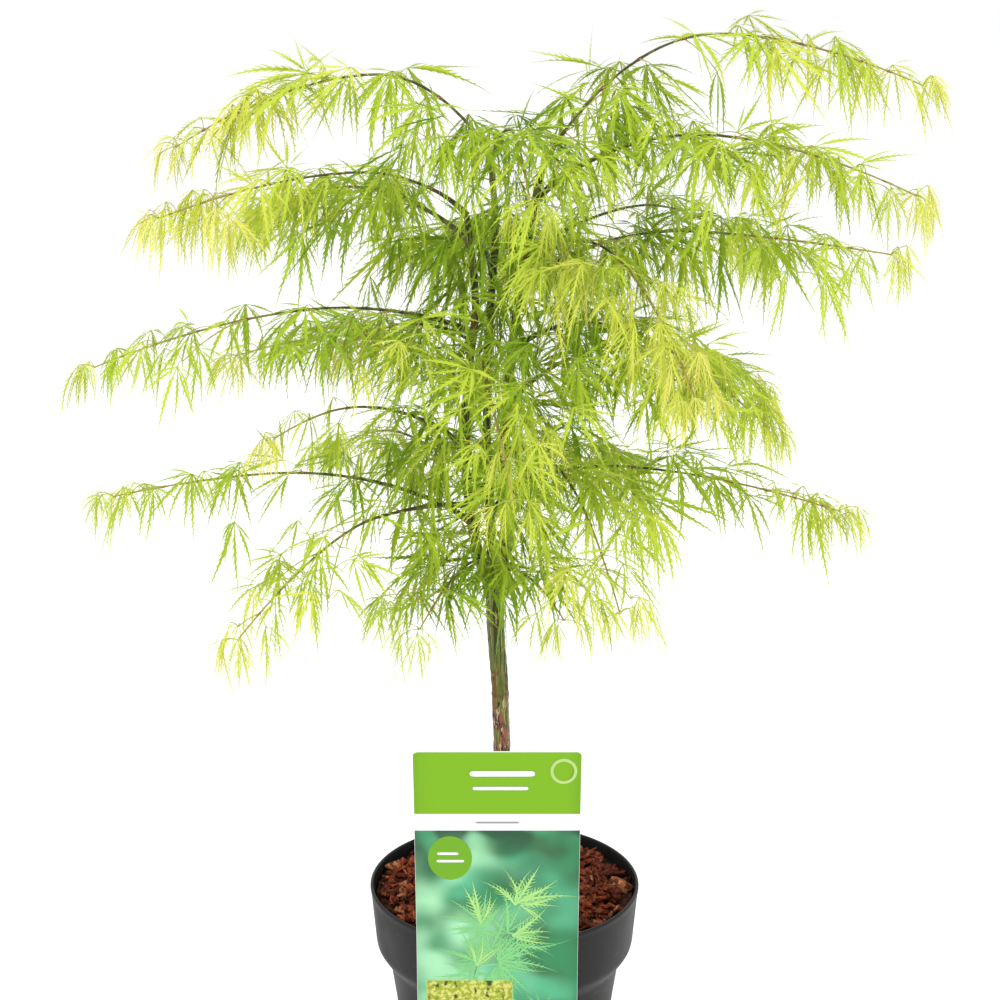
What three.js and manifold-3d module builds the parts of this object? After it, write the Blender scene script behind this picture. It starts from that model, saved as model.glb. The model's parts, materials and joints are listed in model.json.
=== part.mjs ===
// A young weeping laceleaf maple in a round nursery pot: pot, bark-topped compost, hang-on label,
// a forked trunk, arching boughs and hanging masses of foliage.
// Millimetres, +Z up. The origin is the centre of the pot's flat underside, +X is the right side
// and -Y is the front, where the label hangs.

import * as THREE from 'three';
import { mergeVertices } from 'three/addons/utils/BufferGeometryUtils.js';
import Module from 'manifold-3d';

const wasm = await Module();
wasm.setup();

// ---------------------------------------------------------------- driving dimensions

const GAP = 0.35; // clearance between solids that touch
const LIMB_GAP = 0.45; // and round the trunk, stems and boughs

const POT = {
  rimRadius: 95, // outside, at the lip
  height: 155,
  bandDepth: 44.5, // the upright collar under the lip
  bandFootRadius: 91,
  stepDepth: 11, // slope from the collar in to the body
  bodyTopRadius: 82,
  baseRadius: 68,
  lipWidth: 3,
  lipDepth: 3.2,
  lipRound: 0.6,
  footRound: 2,
  wall: 2.2,
  floor: 2.6,
  segments: 44,
};

const DRAIN = { count: 8, radius: 5, ring: 52, sides: 10 };

// flat: how much of the rim's radius the level middle of the compost takes
const COMPOST = { surface: 150.4, edgeDrop: 3.2, flat: 0.72 };

const LABEL = {
  width: 108,
  thickness: 1,
  centreX: -5,
  top: 310,
  bottom: 70,
  leanTop: 34, // how far the top edge stands in front of the lip
  leanBottom: 6, // how far the bottom edge falls back from it
  standOff: 1.6, // from the lip to the back of the card
  leanBend: 1.2, // 1 leans straight from the lip, more curls forward near the top
  tongueWidth: 22,
  tongueDepth: 6.5,
  tongueClear: 2.8, // from the inner wall to the tongue
  steps: 12,
};

const FLARE = { radius: 5.5, height: 16, ribs: 3, ribDepth: 0.22 }; // root flare above the compost

// Trunk and stems: the points they pass through, and their radii at foot and tip.
const TRUNK = {
  foot: 5.6,
  tip: 5.9,
  route: [[-1, 1, 151], [-3, 1, 200], [-2, 0, 262], [-5, 0, 330], [-8, 1, 380]],
};
const STEMS = {
  stem_left: { foot: 3.7, tip: 2.1, route: [[-9, -1, 374], [-18, -5, 400], [-26, -7, 460], [-25, -4, 520],
    [-19, -2, 570], [-25, -4, 632]] },
  stem_right: { foot: 3.9, tip: 2.3, route: [[-6, -1, 374], [1, -5, 404], [-1, -8, 470], [5, -3, 545],
    [13, 1, 600], [22, 4, 652]] },
  stem_middle: { foot: 3.5, tip: 2.0, route: [[-8, 3, 374], [-9, 10, 405], [-12, 11, 470], [-10, 9, 560],
    [-6, 8, 620], [-9, 10, 664]] },
};

// Boughs arch out from a stem, climb to a crest and droop to the tip.
//   from, at      parent limb and how far along it, 0 to 1
//   toward        compass angle in degrees, 0 is +X and 90 is +Y
//   reach         level distance from root to tip
//   crest, where  height of the crest, and how far along the reach it comes
//   tip           height of the tip
//   sway          sideways bend
//   thick         radius at the root
//   leafy         how far along the reach the foliage starts
//   masses        how many masses the foliage is in
//   rise          how far the foliage stands above the bough
//   hang, spread  how deep it hangs and how far it spreads each side
const BOUGHS = {
  top_left: { from: 'stem_middle', at: 0.98, toward: 169, reach: 212, crest: 719, where: 0.30, tip: 669,
    sway: 10, thick: 1.9, leafy: 0.08, masses: 2, rise: 20, hang: 60, spread: 44 },
  upper_left: { from: 'stem_left', at: 0.97, toward: 188, reach: 198, crest: 661, where: 0.30, tip: 638,
    sway: -8, thick: 1.9, leafy: 0.14, masses: 2, rise: 16, hang: 66, spread: 44 },
  mid_left: { from: 'stem_left', at: 0.70, toward: 182, reach: 250, crest: 571, where: 0.34, tip: 532,
    sway: 6, thick: 2.0, leafy: 0.24, masses: 2, rise: 18, hang: 54, spread: 40 },
  inner_left: { from: 'stem_left', at: 0.38, toward: 205, reach: 132, crest: 510, where: 0.55, tip: 498,
    sway: -6, thick: 1.6, leafy: 0.34, masses: 1, rise: 14, hang: 34, spread: 36 },
  low_left: { from: 'stem_left', at: 0.17, toward: 188, reach: 238, crest: 464, where: 0.46, tip: 452,
    sway: 8, thick: 2.2, leafy: 0.34, masses: 2, rise: 20, hang: 52, spread: 42 },
  front_left: { from: 'stem_left', at: 0.22, toward: 224, reach: 200, crest: 451, where: 0.42, tip: 394,
    sway: 12, thick: 1.8, leafy: 0.40, masses: 1, rise: 16, hang: 50, spread: 36 },
  top_right: { from: 'stem_right', at: 0.98, toward: 8, reach: 256, crest: 743, where: 0.42, tip: 708,
    sway: 8, thick: 2.2, leafy: 0.08, masses: 2, rise: 22, hang: 56, spread: 42 },
  upper_right: { from: 'stem_right', at: 0.92, toward: -5, reach: 246, crest: 686, where: 0.40, tip: 651,
    sway: -10, thick: 2.0, leafy: 0.30, masses: 2, rise: 16, hang: 66, spread: 42 },
  mid_right: { from: 'stem_right', at: 0.74, toward: -14, reach: 240, crest: 627, where: 0.50, tip: 620,
    sway: 6, thick: 2.0, leafy: 0.28, masses: 2, rise: 16, hang: 66, spread: 44 },
  side_right: { from: 'stem_right', at: 0.58, toward: -36, reach: 196, crest: 572, where: 0.40, tip: 526,
    sway: -8, thick: 1.8, leafy: 0.28, masses: 1, rise: 16, hang: 56, spread: 44 },
  front_right: { from: 'stem_right', at: 0.76, toward: -60, reach: 192, crest: 625, where: 0.38, tip: 556,
    sway: 8, thick: 1.8, leafy: 0.18, masses: 1, rise: 16, hang: 56, spread: 44 },
  low_right: { from: 'stem_right', at: 0.26, toward: -10, reach: 222, crest: 466, where: 0.36, tip: 449,
    sway: 6, thick: 2.0, leafy: 0.26, masses: 1, rise: 18, hang: 66, spread: 44 },
  low_front: { from: 'stem_right', at: 0.34, toward: -68, reach: 176, crest: 486, where: 0.34, tip: 424,
    sway: 6, thick: 1.7, leafy: 0.28, masses: 1, rise: 16, hang: 60, spread: 42 },
  front: { from: 'stem_middle', at: 0.50, toward: -86, reach: 196, crest: 548, where: 0.42, tip: 500,
    sway: -8, thick: 1.7, leafy: 0.30, masses: 1, rise: 16, hang: 60, spread: 40 },
  back_top_left: { from: 'stem_left', at: 0.90, toward: 138, reach: 214, crest: 640, where: 0.36, tip: 600,
    sway: 8, thick: 1.8, leafy: 0.24, masses: 1, rise: 16, hang: 58, spread: 46 },
  back_top_right: { from: 'stem_right', at: 0.80, toward: 41, reach: 214, crest: 626, where: 0.36, tip: 586,
    sway: -8, thick: 1.8, leafy: 0.24, masses: 1, rise: 16, hang: 58, spread: 46 },
  back: { from: 'stem_middle', at: 0.74, toward: 92, reach: 216, crest: 604, where: 0.36, tip: 556,
    sway: 8, thick: 1.8, leafy: 0.22, masses: 1, rise: 16, hang: 60, spread: 48 },
  back_mid_left: { from: 'stem_left', at: 0.54, toward: 146, reach: 190, crest: 540, where: 0.40, tip: 512,
    sway: -6, thick: 1.7, leafy: 0.26, masses: 1, rise: 16, hang: 50, spread: 42 },
  back_mid_right: { from: 'stem_right', at: 0.46, toward: 33, reach: 206, crest: 532, where: 0.40, tip: 494,
    sway: 6, thick: 1.7, leafy: 0.26, masses: 1, rise: 16, hang: 50, spread: 42 },
  back_low_left: { from: 'stem_middle', at: 0.20, toward: 124, reach: 194, crest: 458, where: 0.40, tip: 430,
    sway: 6, thick: 1.7, leafy: 0.26, masses: 1, rise: 16, hang: 48, spread: 44 },
  back_low_right: { from: 'stem_middle', at: 0.16, toward: 60, reach: 186, crest: 448, where: 0.40, tip: 418,
    sway: -6, thick: 1.7, leafy: 0.26, masses: 1, rise: 16, hang: 48, spread: 44 },
};

// Short leafy shoots that hide their own wood: the same values, with the foliage from near the root.
const TUFTS = {
  crown_front: { from: 'stem_middle', at: 0.94, toward: -80, reach: 104, crest: 694, where: 0.4, tip: 656,
    sway: 6, leafy: 0.12, masses: 1, rise: 18, hang: 56, spread: 44 },
  foot_left: { from: 'stem_left', at: 0.05, toward: -114, reach: 108, crest: 404, where: 0.5, tip: 382,
    sway: 6, leafy: 0.2, masses: 1, rise: 14, hang: 42, spread: 30 },
  foot_right: { from: 'stem_right', at: 0.03, toward: -56, reach: 74, crest: 392, where: 0.5, tip: 374,
    sway: 4, leafy: 0.2, masses: 1, rise: 12, hang: 44, spread: 24 },
  heart_left: { from: 'stem_left', at: 0.60, toward: 212, reach: 96, crest: 566, where: 0.6, tip: 556,
    sway: 6, leafy: 0.16, masses: 1, rise: 16, hang: 48, spread: 36 },
};

const LIFT = 0.7; // how steeply a bough leaves its stem: lower is steeper
const DROOP = 1.7; // how suddenly it turns down past its crest
const LIMB = { sides: 6, step: 26, thin: 0.45 }; // thin: radius where the foliage starts, per root radius
const STEM = { sides: 8, step: 20 };
const FOLIAGE = {
  taper: 0.32, // how much of its depth and spread a bough's foliage loses by the tip
  beyond: 16, // past the tip of its shoot
  sink: 14, // how far a bough runs into it
  sides: 8,
  step: 22,
  uneven: 0.3,
  blunt: 0.42, // how full the two ends of a mass are: lower is fuller
  tuck: 0.35, // how much narrower the hanging side is than the top
  bow: 3, // how far a mass's first point lies under its shoot
  sweep: 0.5, // how much of its hang the last point has
  parting: 5, // space between two masses on one bough
};

// ---------------------------------------------------------------- materials

function paint(colour, roughness) {
  return new THREE.MeshStandardMaterial({ color: colour, roughness, metalness: 0 });
}

const potPlastic = paint('#2b2c2e', 0.62);
const barkMulch = paint('#6d3c26', 0.95);
const card = paint('#7fb84a', 0.4);
const bark = paint('#5e5a2c', 0.8);
const twigBark = paint('#6f6a2e', 0.75);
const leafTones = ['#86b52c', '#9cc73a', '#78a92c', '#b4d24a'].map((tone) => paint(tone, 0.6));

// ---------------------------------------------------------------- solids

function toSolid(geometry) {
  const plain = geometry.clone();
  plain.deleteAttribute('normal');
  plain.deleteAttribute('uv');
  const merged = mergeVertices(plain, 1e-4);
  const triVerts = new Uint32Array(merged.index.array);
  const vertProperties = new Float32Array(merged.attributes.position.array);
  const solid = new wasm.Manifold(new wasm.Mesh({ numProp: 3, vertProperties, triVerts }));
  if (solid.volume() > 0) return solid;
  for (let i = 0; i < triVerts.length; i += 3) {
    [triVerts[i], triVerts[i + 1]] = [triVerts[i + 1], triVerts[i]];
  }
  return new wasm.Manifold(new wasm.Mesh({ numProp: 3, vertProperties, triVerts }));
}

function toGeometry(solid) {
  const { vertProperties, triVerts } = solid.getMesh();
  const geometry = new THREE.BufferGeometry();
  geometry.setAttribute('position', new THREE.BufferAttribute(new Float32Array(vertProperties), 3));
  geometry.setIndex(new THREE.BufferAttribute(new Uint32Array(triVerts), 1));
  geometry.computeVertexNormals();
  return geometry;
}

function largestPiece(solid) {
  return solid.decompose().reduce((best, piece) => (piece.volume() > best.volume() ? piece : best));
}

function cutAway(solid, tools) {
  return tools.reduce((rest, tool) => rest.subtract(tool), solid);
}

const plant = new THREE.Group();
plant.name = 'potted_maple';

function addNode(name, solid, material) {
  const mesh = new THREE.Mesh(toGeometry(solid), material);
  mesh.name = name;
  plant.add(mesh);
}

// A skin over rings of points, closed by a point at each end.
function skinOf(rings, first, last) {
  const sides = rings[0].length;
  const points = [first, ...rings.flat(), last];
  const index = [];
  const at = (ring, side) => 1 + ring * sides + (side % sides);
  for (let side = 0; side < sides; side += 1) {
    index.push(0, at(0, side + 1), at(0, side));
    index.push(points.length - 1, at(rings.length - 1, side), at(rings.length - 1, side + 1));
  }
  for (let ring = 0; ring + 1 < rings.length; ring += 1) {
    for (let side = 0; side < sides; side += 1) {
      index.push(at(ring, side), at(ring, side + 1), at(ring + 1, side));
      index.push(at(ring, side + 1), at(ring + 1, side + 1), at(ring + 1, side));
    }
  }
  const geometry = new THREE.BufferGeometry().setFromPoints(points);
  geometry.setIndex(index);
  return geometry;
}

// ---------------------------------------------------------------- pot, compost and label

function latheSolid(profile) {
  const points = profile.map(([radius, height]) => new THREE.Vector2(radius, height));
  return toSolid(new THREE.LatheGeometry(points, POT.segments).rotateX(Math.PI / 2));
}

function innerRadiusAt(height) {
  const stepTop = POT.height - POT.bandDepth;
  const stepFoot = stepTop - POT.stepDepth;
  if (height >= stepTop) {
    const up = (height - stepTop) / POT.bandDepth;
    return THREE.MathUtils.lerp(POT.bandFootRadius, POT.rimRadius, up) - POT.wall;
  }
  const up = height / stepFoot;
  return THREE.MathUtils.lerp(POT.baseRadius, POT.bodyTopRadius, up) - POT.wall;
}

function makePot() {
  const stepTop = POT.height - POT.bandDepth;
  const stepFoot = stepTop - POT.stepDepth;
  const shell = latheSolid([
    [0, 0],
    [POT.baseRadius - POT.footRound, 0],
    [POT.baseRadius, POT.footRound],
    [POT.bodyTopRadius, stepFoot],
    [POT.bandFootRadius, stepTop],
    [POT.rimRadius - POT.lipRound, POT.height - POT.lipDepth - POT.lipRound],
    [POT.rimRadius, POT.height - POT.lipDepth],
    [POT.rimRadius, POT.height - POT.lipRound],
    [POT.rimRadius - POT.lipRound, POT.height],
    [POT.rimRadius - POT.lipWidth, POT.height],
    [POT.bandFootRadius - POT.wall, stepTop],
    [POT.bodyTopRadius - POT.wall, stepFoot],
    [POT.baseRadius - POT.wall, POT.floor],
    [0, POT.floor],
  ]);
  const holes = Array.from({ length: DRAIN.count }, (_, i) => {
    const angle = (2 * Math.PI * (i + 0.5)) / DRAIN.count;
    const hole = new THREE.CylinderGeometry(DRAIN.radius, DRAIN.radius, 4 * POT.floor, DRAIN.sides);
    hole.rotateX(Math.PI / 2);
    hole.translate(DRAIN.ring * Math.cos(angle), DRAIN.ring * Math.sin(angle), 0);
    return toSolid(hole);
  });
  return cutAway(shell, holes);
}

function makeCompost() {
  const stepTop = POT.height - POT.bandDepth;
  const stepFoot = stepTop - POT.stepDepth;
  const clear = 2 * GAP; // the walls slope, so the level gap is a little wider
  const edge = COMPOST.surface - COMPOST.edgeDrop;
  return latheSolid([
    [0, POT.floor + GAP],
    [POT.baseRadius - POT.wall - clear, POT.floor + GAP],
    [POT.bodyTopRadius - POT.wall - clear, stepFoot],
    [POT.bandFootRadius - POT.wall - clear, stepTop + GAP],
    [innerRadiusAt(edge) - 2 * clear, edge],
    [COMPOST.flat * POT.rimRadius, COMPOST.surface],
    [0, COMPOST.surface],
  ]);
}

// The card stands in front of the lip, leaning out above it and falling back below it.
function cardFront(height) {
  const rest = -POT.rimRadius - LABEL.standOff;
  if (height > POT.height) {
    const up = (height - POT.height) / (LABEL.top - POT.height);
    return rest - LABEL.leanTop * up ** LABEL.leanBend;
  }
  const down = (POT.height - height) / (POT.height - LABEL.bottom);
  return rest + LABEL.leanBottom * down;
}

function extrudeAlongX(outline, width, centreX) {
  const shape = new THREE.Shape(outline.map(([y, z]) => new THREE.Vector2(y, z)));
  const geometry = new THREE.ExtrudeGeometry(shape, { depth: width, bevelEnabled: false });
  // shape x becomes +Y, shape y becomes +Z and the depth becomes +X
  geometry.applyMatrix4(new THREE.Matrix4().makeBasis(
    new THREE.Vector3(0, 1, 0), new THREE.Vector3(0, 0, 1), new THREE.Vector3(1, 0, 0)));
  geometry.translate(centreX - width / 2, 0, 0);
  return toSolid(geometry);
}

function makeLabel() {
  const heights = Array.from({ length: LABEL.steps + 1 },
    (_, i) => THREE.MathUtils.lerp(LABEL.bottom, LABEL.top, i / LABEL.steps));
  const back = heights.map((z) => [cardFront(z), z]);
  const front = heights.map((z) => [cardFront(z) - LABEL.thickness, z]).reverse();
  const sheet = extrudeAlongX([...back, ...front], LABEL.width, LABEL.centreX);
  const inside = -POT.rimRadius + POT.lipWidth + LABEL.tongueClear;
  const over = POT.height + 2 * GAP;
  const tongue = extrudeAlongX([
    [-POT.rimRadius - LABEL.standOff - LABEL.thickness / 2, over],
    [inside, over],
    [inside, POT.height - LABEL.tongueDepth],
    [inside + LABEL.thickness, POT.height - LABEL.tongueDepth],
    [inside + LABEL.thickness, over + LABEL.thickness],
    [-POT.rimRadius - LABEL.standOff - LABEL.thickness / 2, over + LABEL.thickness],
  ], LABEL.tongueWidth, LABEL.centreX);
  return sheet.add(tongue);
}

// ---------------------------------------------------------------- limbs

class Arch extends THREE.Curve {
  constructor(root, bough) {
    super();
    this.root = root;
    this.bough = bough;
    const angle = THREE.MathUtils.degToRad(bough.toward);
    this.ahead = new THREE.Vector3(Math.cos(angle), Math.sin(angle), 0);
    this.aside = new THREE.Vector3(-Math.sin(angle), Math.cos(angle), 0);
  }

  heightAt(t) {
    const { crest, where, tip } = this.bough;
    if (t < where) {
      return THREE.MathUtils.lerp(this.root.z, crest, Math.sin((Math.PI * t) / (2 * where)) ** LIFT);
    }
    return THREE.MathUtils.lerp(crest, tip, ((t - where) / (1 - where)) ** DROOP);
  }

  getPoint(t, target = new THREE.Vector3()) {
    target.copy(this.root);
    target.addScaledVector(this.ahead, this.bough.reach * t);
    target.addScaledVector(this.aside, this.bough.sway * Math.sin(Math.PI * t));
    target.z = this.heightAt(t);
    return target;
  }
}

class Part extends THREE.Curve { // the stretch of a curve between two of its parameters
  constructor(curve, start, end) {
    super();
    Object.assign(this, { curve, start, end });
  }

  getPoint(t, target = new THREE.Vector3()) {
    return this.curve.getPoint(THREE.MathUtils.lerp(this.start, this.end, t), target);
  }
}

// A closed, tapering limb: radiusAt gives the radius at a fraction of its length and an angle.
function makeLimb(curve, radiusAt, { sides, step }) {
  const steps = Math.max(4, Math.round(curve.getLength() / step));
  const frames = curve.computeFrenetFrames(steps);
  const ends = [curve.getPointAt(0), curve.getPointAt(1)];
  const rings = Array.from({ length: steps + 1 }, (_, i) => {
    const centre = curve.getPointAt(i / steps);
    return Array.from({ length: sides }, (_unused, side) => {
      const angle = (2 * Math.PI * side) / sides;
      const radius = radiusAt(i / steps, angle);
      return centre.clone()
        .addScaledVector(frames.normals[i], radius * Math.cos(angle))
        .addScaledVector(frames.binormals[i], radius * Math.sin(angle));
    });
  });
  return toSolid(skinOf(rings, ends[0], ends[1]));
}

function stemCurve(route) {
  return new THREE.CatmullRomCurve3(route.map((point) => new THREE.Vector3(...point)), false, 'centripetal');
}

// ---------------------------------------------------------------- foliage

// A repeatable number from -1 to 1 for each place in a mass.
function chance(seed, ring, side) {
  const wave = Math.sin(seed * 12.9898 + ring * 78.233 + side * 37.719) * 43758.5453;
  return 2 * (wave - Math.floor(wave)) - 1;
}

// An uneven pad with leaves standing a little above the shoot and hanging well below it. It covers
// one stretch of a bough, and gets smaller towards the bough's tip.
function makeFoliage(curve, size, seed, grow) {
  const length = curve.getLength();
  const steps = Math.max(5, Math.round(length / FOLIAGE.step));
  const level = (t) => curve.getTangentAt(t).setZ(0).normalize();
  const rings = Array.from({ length: steps - 1 }, (_, i) => {
    const t = (i + 1) / steps;
    const outward = THREE.MathUtils.lerp(curve.start, curve.end, t);
    const full = Math.sin(Math.PI * t) ** FOLIAGE.blunt * (1 - FOLIAGE.taper * outward ** 2);
    const centre = curve.getPointAt(t);
    const aside = new THREE.Vector3(0, 0, 1).cross(level(t));
    return Array.from({ length: FOLIAGE.sides }, (_unused, side) => {
      const angle = (2 * Math.PI * (side + 0.5 * (i % 2))) / FOLIAGE.sides;
      const low = Math.max(0, -Math.sin(angle));
      const rough = 1 + FOLIAGE.uneven * chance(seed, i, side);
      const width = size.spread * (1 - FOLIAGE.tuck * low);
      const depth = low > 0 ? size.hang : size.rise;
      const across = (width * full * rough + grow) * Math.cos(angle);
      const up = (depth * full * rough + grow) * Math.sin(angle);
      return centre.clone().addScaledVector(aside, across).add(new THREE.Vector3(0, 0, up));
    });
  });
  const first = curve.getPointAt(0).addScaledVector(level(0), -grow)
    .add(new THREE.Vector3(0, 0, -FOLIAGE.bow));
  const last = curve.getPointAt(1).addScaledVector(level(1), size.beyond + grow)
    .add(new THREE.Vector3(0, 0, -FOLIAGE.sweep * size.hang));
  return toSolid(skinOf(rings, first, last));
}

function foliageStretches(bough) {
  const { leafy, masses, reach } = bough;
  const part = FOLIAGE.parting / reach;
  return Array.from({ length: masses }, (_, i) => {
    const span = (1 - leafy) / masses;
    return [leafy + i * span + (i > 0 ? part : 0), leafy + (i + 1) * span];
  });
}

// ---------------------------------------------------------------- assembly

addNode('pot', makePot(), potPlastic);
addNode('compost', makeCompost(), barkMulch);
addNode('plant_label', makeLabel(), card);

const curves = {}; // the line of each limb, by name
const taken = []; // slightly swollen copies of the solids placed so far

function placeLimb(name, curve, radiusAt, grain, material) {
  const solid = largestPiece(cutAway(makeLimb(curve, radiusAt, grain), taken));
  addNode(name, solid, material);
  curves[name] = curve;
  return makeLimb(curve, (t, angle) => radiusAt(t, angle) + LIMB_GAP, grain);
}

function trunkRadius(t, angle) {
  const height = t * (TRUNK.route.at(-1)[2] - TRUNK.route[0][2]);
  const swell = Math.max(0, 1 - height / FLARE.height) ** 2;
  const ribs = 1 + FLARE.ribDepth * swell * Math.cos(FLARE.ribs * angle);
  return (THREE.MathUtils.lerp(TRUNK.foot, TRUNK.tip, t) + FLARE.radius * swell) * ribs;
}

taken.push(placeLimb('trunk', stemCurve(TRUNK.route), trunkRadius, { sides: 12, step: 9 }, bark));
for (const [name, stem] of Object.entries(STEMS)) {
  const radiusAt = (t) => THREE.MathUtils.lerp(stem.foot, stem.tip, t);
  taken.push(placeLimb(name, stemCurve(stem.route), radiusAt, STEM, bark));
}

const leafy = [];
for (const [name, bough] of Object.entries({ ...BOUGHS, ...TUFTS })) {
  const arch = new Arch(curves[bough.from].getPointAt(bough.at), bough);
  leafy.push({ name, bough, arch });
}

// Boughs are cut where they leave their stem, and run a short way into their foliage.
for (const { name, bough, arch } of leafy.filter(({ bough: { thick } }) => thick)) {
  const bare = new Part(arch, 0, bough.leafy + FOLIAGE.sink / bough.reach);
  const radiusAt = (t) => bough.thick * THREE.MathUtils.lerp(1, LIMB.thin, t);
  taken.push(placeLimb(`bough_${name}`, bare, radiusAt, LIMB, twigBark));
}

let seed = 1;
for (const { name, bough, arch } of leafy) {
  foliageStretches(bough).forEach(([start, end], i, all) => {
    seed += 1;
    const stretch = new Part(arch, start, end);
    const outermost = i === all.length - 1;
    const size = { ...bough, beyond: outermost ? FOLIAGE.beyond : 0 };
    const solid = largestPiece(cutAway(makeFoliage(stretch, size, seed, 0), taken));
    const place = all.length === 1 ? '' : ['_inner', '_outer'][i];
    addNode(`foliage_${name}${place}`, solid, leafTones[seed % leafTones.length]);
    taken.push(makeFoliage(stretch, size, seed, GAP));
  });
}

export default plant;
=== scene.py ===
"""A young weeping laceleaf maple in a round nursery pot: bark-covered trunk, stems and boughs, twigs and
leaves grown from them by a seeded rule, bark chips on the compost, and a picture label on the rim."""

import json
import math
from collections import namedtuple

import bpy
import numpy as np
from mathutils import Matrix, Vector

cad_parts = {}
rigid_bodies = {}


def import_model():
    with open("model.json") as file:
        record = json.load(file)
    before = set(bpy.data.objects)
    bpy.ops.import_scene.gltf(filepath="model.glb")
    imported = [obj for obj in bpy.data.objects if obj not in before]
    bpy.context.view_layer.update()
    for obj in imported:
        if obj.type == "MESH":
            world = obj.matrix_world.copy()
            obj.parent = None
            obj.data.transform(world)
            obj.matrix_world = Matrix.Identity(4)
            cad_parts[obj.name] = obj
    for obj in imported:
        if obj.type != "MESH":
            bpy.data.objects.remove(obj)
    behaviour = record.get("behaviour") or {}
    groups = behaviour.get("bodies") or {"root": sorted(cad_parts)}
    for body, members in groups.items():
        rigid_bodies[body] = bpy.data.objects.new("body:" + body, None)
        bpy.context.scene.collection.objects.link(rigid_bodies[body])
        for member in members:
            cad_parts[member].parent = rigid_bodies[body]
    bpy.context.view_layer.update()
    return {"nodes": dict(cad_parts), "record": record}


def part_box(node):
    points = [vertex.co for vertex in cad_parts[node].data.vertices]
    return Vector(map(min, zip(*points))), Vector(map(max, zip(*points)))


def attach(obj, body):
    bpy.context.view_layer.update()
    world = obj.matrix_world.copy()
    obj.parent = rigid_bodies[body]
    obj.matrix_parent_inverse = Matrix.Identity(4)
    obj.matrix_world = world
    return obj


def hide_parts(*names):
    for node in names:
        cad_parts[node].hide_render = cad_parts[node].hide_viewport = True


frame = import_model()

MM = 0.001
UP = np.array([0.0, 0.0, 1.0])
rng = np.random.default_rng(20)

# ------------------------------------------------------------------ growth habit

STEMS = ("stem_left", "stem_right", "stem_middle")

# A bough climbs to a crest and droops to its tip, by the same law as its solid.
LIFT, DROOP = 0.7, 1.7
RIDGE = 0.23                 # how far below the top of its foliage a shoot runs, as a share of the depth
OVERHANG = 16 * MM           # foliage past the end of a shoot
FULL_DEPTH = 66 * MM         # of foliage with full-sized leaves

NODE_GAP = (24 * MM, 20 * MM)      # between leaf nodes, where the foliage starts and at the tip
SIDE_GAP = 20 * MM                 # between nodes on a side shoot
SIDE_LENGTH = (78 * MM, 16 * MM)   # of a side shoot, where the foliage starts and at the tip
SIDE_CHANCE = (0.57, 0.08)         # that a bud makes a side shoot and not one leaf
SIDE_ANGLE = (30, 62)              # degrees from the bough
HEART_GAP = 27 * MM                # between the leafy buds on a stem
HEART_FROM = 0.392                 # height of the first of them
HEART_LENGTH = (22, 58)            # of a shoot from one of them, in mm
HEART_SHOOTS = 0.5                 # chance that one makes a shoot and not one leaf
HEART_RISE = 0.35                  # of a shoot or leaf there, for a unit outwards
PETIOLE = (24 * MM, 12 * MM)
LEAF_LENGTH = (71 * MM, 53 * MM)   # of the middle lobe
SHOOT_RADIUS = (0.95 * MM, 0.5 * MM)
TWIG_RADIUS = (0.55 * MM, 0.38 * MM)
PETIOLE_RADIUS = 0.3 * MM
PETIOLE_SHAPE = np.array([1.8, 1.0, 0.9, 0.95, 1.35])    # how its radius goes from the shoot to the leaf
PETIOLE_SAG = 0.35                 # share of its length
PETIOLE_RISE = (0, 62)             # degrees up from level, of the leaves in pairs
LAST_NODE = 8 * MM                 # the nearest that a node comes to the end of a shoot
LEAF_DROOP = ((6, 62), (46, 86))   # degrees that a leaf tilts down, for grown leaves and for young ones
LOBE_BEND = ((12, 62), (28, 95))   # degrees that a lobe bends down on the way to its tip
HELD_BEND = 0.55                   # share of that bend on a leaf held level
TIP_GAP = 0.92                     # the widest spacing of nodes at a bough's tip
YOUNG_FROM = 0.35                  # share of a bough past which its leaves get younger
SHORT_SIZE, FULL_SIZE = 0.72, 1.08    # limits of leaf size on shallow and on deep boughs
LEAVES_IN_PIECE = 330

# Single leaves at a node, held above the bough or hung from under it: the chance of one where the foliage starts
# and at the tip, how far round from ahead it may point in radians, its rise and its droop in degrees, its share of
# the full size, and how much greener it is.
SINGLE_LEAVES = [((0.52, 0.3), 2.4, (30, 65), (-5, 35), 0.95, 0.03),
                 ((0.4, 0.0), 1.2, (-60, -20), (60, 85), 0.9, 0.1)]

# For each bough, how yellow its first leaves are, from 0 for deep green to 1 for yellow, how far apart its
# nodes are, and how young and lacy its first leaves are.
HABIT = {
    "top_left": (0.42, 1.3, 0.35), "upper_left": (0.4, 1.25, 0.35), "mid_left": (0.14, 2.2, 0.0),
    "inner_left": (0.3, 1.5, 0.5), "low_left": (0.14, 1.7, 0.0), "front_left": (0.24, 0.95, 0.1),
    "top_right": (0.3, 1.4, 0.1), "upper_right": (0.26, 1.45, 0.1), "mid_right": (0.16, 1.3, 0.0),
    "side_right": (0.12, 1.05, 0.0), "front_right": (0.4, 0.72, 0.75), "low_right": (0.16, 1.15, 0.0),
    "low_front": (0.26, 1.05, 0.3), "front": (0.28, 1.3, 0.2), "crown_front": (0.18, 1.3, 0.2),
    "foot_left": (0.1, 0.78, 0.0), "foot_right": (0.14, 0.88, 0.0), "heart_left": (0.24, 1.5, 0.2),
}
HABIT_BEHIND = (0.24, 1.3, 0.0)    # of the boughs at the back
HEART_TINT = 0.24            # of the leaves on the stems
TINT_GAIN = 0.42             # from the first leaves of a bough to its tip
TINT_SPREAD = 0.07           # from leaf to leaf
SHADE_RADIUS = 0.12          # metres from the axis within which leaves are greener, being in shade
SHADE_TINT = 0.13            # how much greener, at the axis

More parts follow.
